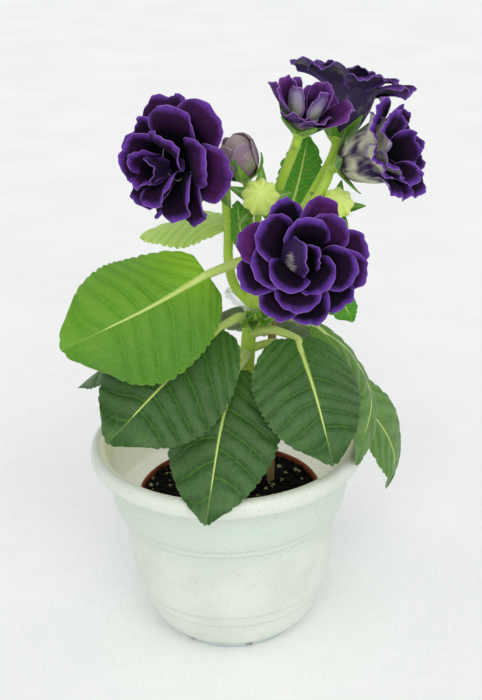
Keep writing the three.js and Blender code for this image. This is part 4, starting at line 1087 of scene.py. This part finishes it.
def petal_finish(name, colours):
    """colours are heart, middle, glow, edge, flush, back, pale back and pale foot. The pale back also paints
    the highlight on a heart petal's back.
    """
    heart, middle, glow, edge, flushed, back, pale_back, foot = (srgb(*colour) for colour in colours)
    material, tree, shader = finish(name, Roughness=0.75, Sheen_Weight=0.03, Sheen_Roughness=0.4,
                                    Sheen_Tint=(0.7, 0.6, 1, 1), Specular_IOR_Level=0.07)
    s, v, under = parts(tree, read_mark(tree, "blade"))
    flush, pale, rim = parts(tree, read_mark(tree, "blade_mm"))
    fan = node(tree, "ShaderNodeCombineXYZ",
               {"X": calc(tree, "MULTIPLY", v, 11.0), "Y": calc(tree, "MULTIPLY", s, 2.2)}).outputs[0]
    streak = fade(tree, noise(tree, 1.6, 3, fan), 0.3, 0.7)
    skin = downy(tree, 1900, 110)
    depth = calc(tree, "MULTIPLY_ADD", streak, 0.6, calc(tree, "MULTIPLY_ADD", skin["Mottle"], 1.0, rim))
    near = calc(tree, "MULTIPLY", fade(tree, depth, 0.4, 4.4, 1.0, 0.0), fade(tree, s, 0.25, 0.7))
    blush = calc(tree, "MULTIPLY", flush, calc(tree, "MULTIPLY_ADD", streak, 0.4, 0.5))
    blush = calc(tree, "MULTIPLY", blush, fade(tree, s, 0.3, 0.8))
    fringe = calc(tree, "MULTIPLY_ADD", streak, 0.15, -1.03)
    patch = calc(tree, "MULTIPLY_ADD", noise(tree, 60), 1.9, fringe)
    # cover is the pale back; on a heart petal with a small patch it is a painted highlight
    cover = fade(tree, calc(tree, "ADD", pale, patch), 0.33, 0.78)
    reverse = layered(tree, back, (cover, blend(tree, fade(tree, s, 0.1, 0.75), foot, pale_back)),
                      (fade(tree, depth, 0.5, 3.2, 0.8, 0.0), glow))
    colour = layered(tree, heart, (fade(tree, s, 0.35, 1.0), middle), (near, glow), (blush, flushed),
                     (under, reverse), (fade(tree, rim, 0.1, 0.45, 0.65, 0.0), edge))
    fibrous = calc(tree, "MULTIPLY_ADD", streak, 0.6, skin["Height"])
    dress(tree, shader, colour, fibrous, 0.35, 0.0004)
    return material


petal_violet = petal_finish("petal_violet", (
    (5, 3, 8), (16, 7, 25), (106, 62, 168), (160, 124, 194), (92, 38, 104), (54, 36, 76),
    (216, 213, 196), (226, 224, 194)))
petal_mauve = petal_finish("petal_mauve", (
    (26, 11, 36), (60, 28, 82), (106, 64, 144), (172, 136, 192), (112, 46, 120), (84, 56, 116),
    (150, 140, 170), (188, 198, 156)))
petal_greyed = petal_finish("petal_greyed", (
    (5, 3, 8), (16, 7, 25), (98, 64, 152), (156, 124, 188), (92, 38, 104), (66, 52, 88),
    (126, 120, 134), (146, 148, 136)))
OWN_FINISHES = {"bloom_small": petal_mauve, "bloom_top": petal_greyed}
for name, bloom in BLOOMS.items():
    base = bloom_frame(bloom)
    petals = [throat(base, bloom)] + [petal_sheet(base, petal) for petal in petals_of(bloom)]
    piece(name.replace("bloom", "petals"), petals, OWN_FINISHES.get(name, petal_violet),
          "petal_mauve" if name == "bloom_small" else "petal_violet", name)


# ---------------------------------------------------------------- buds
# Closed buds of folded petals, whose edges wind towards the tip. The green ones are ridged and hard;
# the mauve one is about to open.
def bud_shell(bud, sides=132, rows=70):
    base = bloom_frame(bud)
    t = np.linspace(0.03, 0.995, rows)[:, None]
    turn = np.linspace(0, 2 * math.pi, sides, endpoint=False)[None, :]
    belly = np.sin(math.pi * t**0.85) ** 0.62
    count, wind = bud["ridges"], bud["wind"]
    twist = count * (turn - wind * t) / (2 * math.pi)
    if bud.get("folded"):
        saw = (twist + 0.12 * np.sin(7 * t)) % 1
        form = 1 + 0.09 * (saw**0.7 - 0.5) * smooth(t * 3) + 0.02 * np.sin(3 * turn + 4 * t)
        crease = np.exp(-((np.minimum(saw, 1 - saw) / 0.07) ** 2))
    else:
        wave = np.cos(2 * math.pi * twist)
        form = 1 + 0.075 * (np.sign(wave) * np.abs(wave) ** 0.8) * (0.4 + 0.6 * smooth(t * 2))
        crease = smooth((wave - 0.55) / 0.45)
    reach = bud["radius"] * belly * form
    centres = base["foot"] + (t * bud["length"])[..., None] * base["out"]
    grid = centres + reach[..., None] * at_turn(base, turn)
    marks = np.stack([t + 0 * crease, crease, 0 * crease], axis=-1)
    return tube_shell(grid, bud=marks)


def bud_finish(name, *colours):
    """colours are those of the foot, the sides, the ridges and the tip."""
    low, high, ridge, tip = (srgb(*colour) for colour in colours)
    material, tree, shader = finish(name, Roughness=0.55, Sheen_Weight=0.1, Subsurface_Weight=0.12,
                                    Subsurface_Radius=(0.0015, 0.002, 0.0008))
    t, crease, _ = parts(tree, read_mark(tree, "bud"))
    skin = downy(tree, 1300, 150)
    height = calc(tree, "MULTIPLY_ADD", skin["Mottle"], 0.4, t)
    colour = layered(tree, low, (fade(tree, height, 0.3, 0.75), high),
                     (calc(tree, "MULTIPLY", crease, 0.35), ridge), (fade(tree, t, 0.8, 1.0), tip))
    dress(tree, shader, colour, skin["Height"], 0.35, 0.0004)
    return material


bud_mauve = bud_finish("bud_mauve", (136, 148, 102), (148, 130, 136), (180, 164, 162), (160, 142, 140))
bud_green = bud_finish("bud_green", (182, 222, 72), (220, 242, 118), (236, 248, 170), (214, 234, 128))
BUDS = {
    "bud_mauve": {
        "foot": (12.8, 5.5, 233.5), "axis": (-0.2, -0.15, 0.96), "length": 20.5, "radius": 8.6,
        "ridges": 5, "wind": 0.9, "folded": True},
    "bud_green": {
        "foot": (19.2, -4, 224.5), "axis": (0.04, -0.88, 0.47), "length": 15, "radius": 8.2,
        "ridges": 9, "wind": 0.3},
    "bud_green_small": {
        "foot": (54.2, 1, 217.5), "axis": (0.1, -0.75, 0.65), "length": 13, "radius": 7.2,
        "ridges": 8, "wind": 0.3},
}
folded_petal = petal_finish("folded_petal", (
    (96, 72, 96), (126, 102, 122), (156, 134, 152), (200, 184, 196), (126, 92, 122), (146, 122, 140),
    (172, 156, 164), (146, 158, 110)))
FOLDS = {"seed": 71, "whorls": [
    petal_ring(around(5, 30), 4.6, 0.6, (42, -34), 19, 16, 0.95, 0.25,
               pale=0.45, lip=0.3, frill=0.2, flush=0),
]}
for name, bud in BUDS.items():
    shells, finishes, slot = [bud_shell(bud)], bud_green, "bud_green"
    downy_shells += shells
    if name == "bud_mauve":
        shells += [petal_sheet(bloom_frame(bud), fold) | {"paint": 1} for fold in petals_of(FOLDS)]
        finishes, slot = [bud_mauve, folded_petal], "bud_mauve"
    piece("closed_" + name, shells, finishes, slot, name)


# ---------------------------------------------------------------- flower stalks
# Downy stalks from the upper stem. Each ends in a calyx: a shallow cup with five pointed sepals.
SEPALS = 5
sepal_green, tree, shader = finish("sepal_green", Roughness=0.5, Sheen_Weight=0.1)
skin = downy(tree, 1500, 120)
side = parts(tree, read_mark(tree, "blade"))[1]
colour = blend(tree, skin["Mottle"], srgb(74, 128, 28), srgb(112, 164, 50))
keel = fade(tree, calc(tree, "ABSOLUTE", side), 0.05, 0.3, 0.5, 0.0)
dress(tree, shader, blend(tree, keel, colour, srgb(156, 188, 96)), skin["Height"], 0.3, 0.0003)


def sepal_sheet(base, stalk, index, rows=36, columns=14):
    s = np.linspace(0, 1, rows)[:, None]
    v = np.linspace(-1, 1, columns + 1)[None, :]
    middle, side, inward = arched(
        base, base["foot"], stalk["turn"] + 360 * index / SEPALS, stalk["flare"], stalk["sepal"],
        stalk["cup"] - 1, -1.2, s * stalk["sepal"])
    half = 0.3 + stalk["broad"] * (1 - s) ** 0.8 * (1 + 0.5 * np.sin(math.pi * s))
    middle = middle + side * (v * half)[..., None]
    cupped = 0.35 + 0.2 * v**2 * half + 0.15 * np.sin(5 * s + 2 * index + v)
    keel = -0.5 * (1 - np.abs(v)) ** 1.5 * (1 - 0.6 * s) - 0.2
    faces = middle + inward * cupped[..., None], middle + inward * (cupped + keel)[..., None]
    return sheet(*faces, blade=place_marks(s, v))


STALKS = {
    "stalk_front": {
        "flower": BLOOMS["bloom_front"], "cup": 5, "broad": 2.4, "sepal": 13, "flare": (50, 80),
        "turn": 20, "path": [(16, 0, 188), (25, 0, 193), (32.5, -8, 197)]},
    "stalk_left": {
        "flower": BLOOMS["bloom_left"], "cup": 5, "broad": 2.6, "sepal": 15, "flare": (60, 96),
        "turn": 60,
        "path": [(14, 0, 172), (6.5, 2.5, 181), (4.1, 5, 193), (4.5, 5, 206), (4.2, 5, 220), (4, 5.6, 230)]},
    "stalk_top": {
        "flower": BLOOMS["bloom_top"], "cup": 5.5, "broad": 3.4, "sepal": 16, "flare": (50, 26),
        "turn": 10, "path": [(16, 1, 190), (27, 3, 196), (40.5, 7, 216.9), (52, 12, 235)]},
    "stalk_right": {
        "flower": BLOOMS["bloom_right"], "cup": 6, "broad": 3.2, "sepal": 15, "flare": (58, 40),
        "turn": 0, "path": [(16, 1, 184), (26, -2, 192), (36.5, -3, 211), (49, 0, 229)]},
    "stalk_small": {
        "flower": BLOOMS["bloom_small"], "cup": 5, "broad": 3.4, "sepal": 13, "flare": (60, 40),
        "turn": 15,
        "path": [(16, 1, 194), (22, 3.5, 206), (25.6, 3, 219.7), (30.3, 0, 233.3), (35.1, -7, 248)]},
    "stalk_bud_mauve": {
        "flower": BUDS["bud_mauve"], "cup": 4.6, "broad": 2.8, "sepal": 16, "flare": (72, -10),
        "turn": 60, "thick": 1.6, "path": [(16, 1, 192), (14.8, 6, 205), (15.1, 6.4, 219)]},
    "stalk_bud_green": {
        "flower": BUDS["bud_green"], "cup": 4.8, "broad": 2.4, "sepal": 12, "flare": (68, 95),
        "turn": 8, "thick": 1.6, "path": [(17, 0, 193), (18, 0.5, 206), (18.6, 1, 217)]},
    "stalk_bud_small": {
        "flower": BUDS["bud_green_small"], "cup": 4.4, "broad": 2.2, "sepal": 11, "flare": (66, 92),
        "turn": 20, "thick": 1.5, "path": [(16, -1, 184), (32, -4, 193), (46, -2, 206)]},
}
for name, stalk in STALKS.items():
    base = bloom_frame(stalk["flower"])
    thick = stalk.get("thick", 2.1)
    below = base["foot"] - 7 * base["out"]
    t = np.linspace(0, 1, 60)
    rise = np.linspace(-6.6, -0.4, 14)
    cup_radius = thick + (stalk["cup"] - thick) * smooth((rise + 4.8) / 4.4) ** 1.5
    centres = np.vstack([spine([*stalk["path"], below])(t), base["foot"] + rise[:, None] * base["out"]])
    radii = np.concatenate([thick * (1.12 - 0.12 * t), cup_radius])
    downy_shells.append(pipe(centres, radii, 24, lambda along, turn: 0.05 * np.cos(5 * turn + 2 * along)))
    sepals = [sepal_sheet(base, stalk, i) | {"paint": 1} for i in range(SEPALS)]
    piece("flower_" + name, [downy_shells[-1], *sepals], [stem_green, sepal_green], "stem", name)


# ---------------------------------------------------------------- down
# Short soft hairs that stand on the stem, stalks, petioles and buds.
def hair(tree, given, spots):
    """Thin cones that stand on their surface and lean by chance."""
    cone = node(tree, "GeometryNodeMeshCone", {
        "Vertices": 3, "Radius Top": 0.0, "Radius Bottom": given["Thickness"], "Depth": given["Length"]})
    lean = by_chance(tree, given, (-0.5, -0.5, 0.0), (0.5, 0.5, 6.3), "FLOAT_VECTOR")
    turned_hair = node(tree, "FunctionNodeRotateRotation", {0: spots["Rotation"], 1: lean},
                       rotation_space="LOCAL")
    return cone.outputs["Mesh"], turned_hair.outputs[0], by_chance(tree, given, 0.5, 1.1)


pale_down, tree, shader = finish("pale_down", Roughness=0.6, Sheen_Weight=0.4)
silvery = blend(tree, noise(tree, 300), srgb(176, 196, 140), srgb(214, 222, 192))
tree.links.new(silvery, shader.inputs["Base Color"])
grown_on(joined("soft_down", downy_shells), scatter_tree("Hairs", ("Length", "Thickness"), hair), "stem",
         Density=600000.0, Length=0.0011, Thickness=0.00004, Seed=7, Material=pale_down)
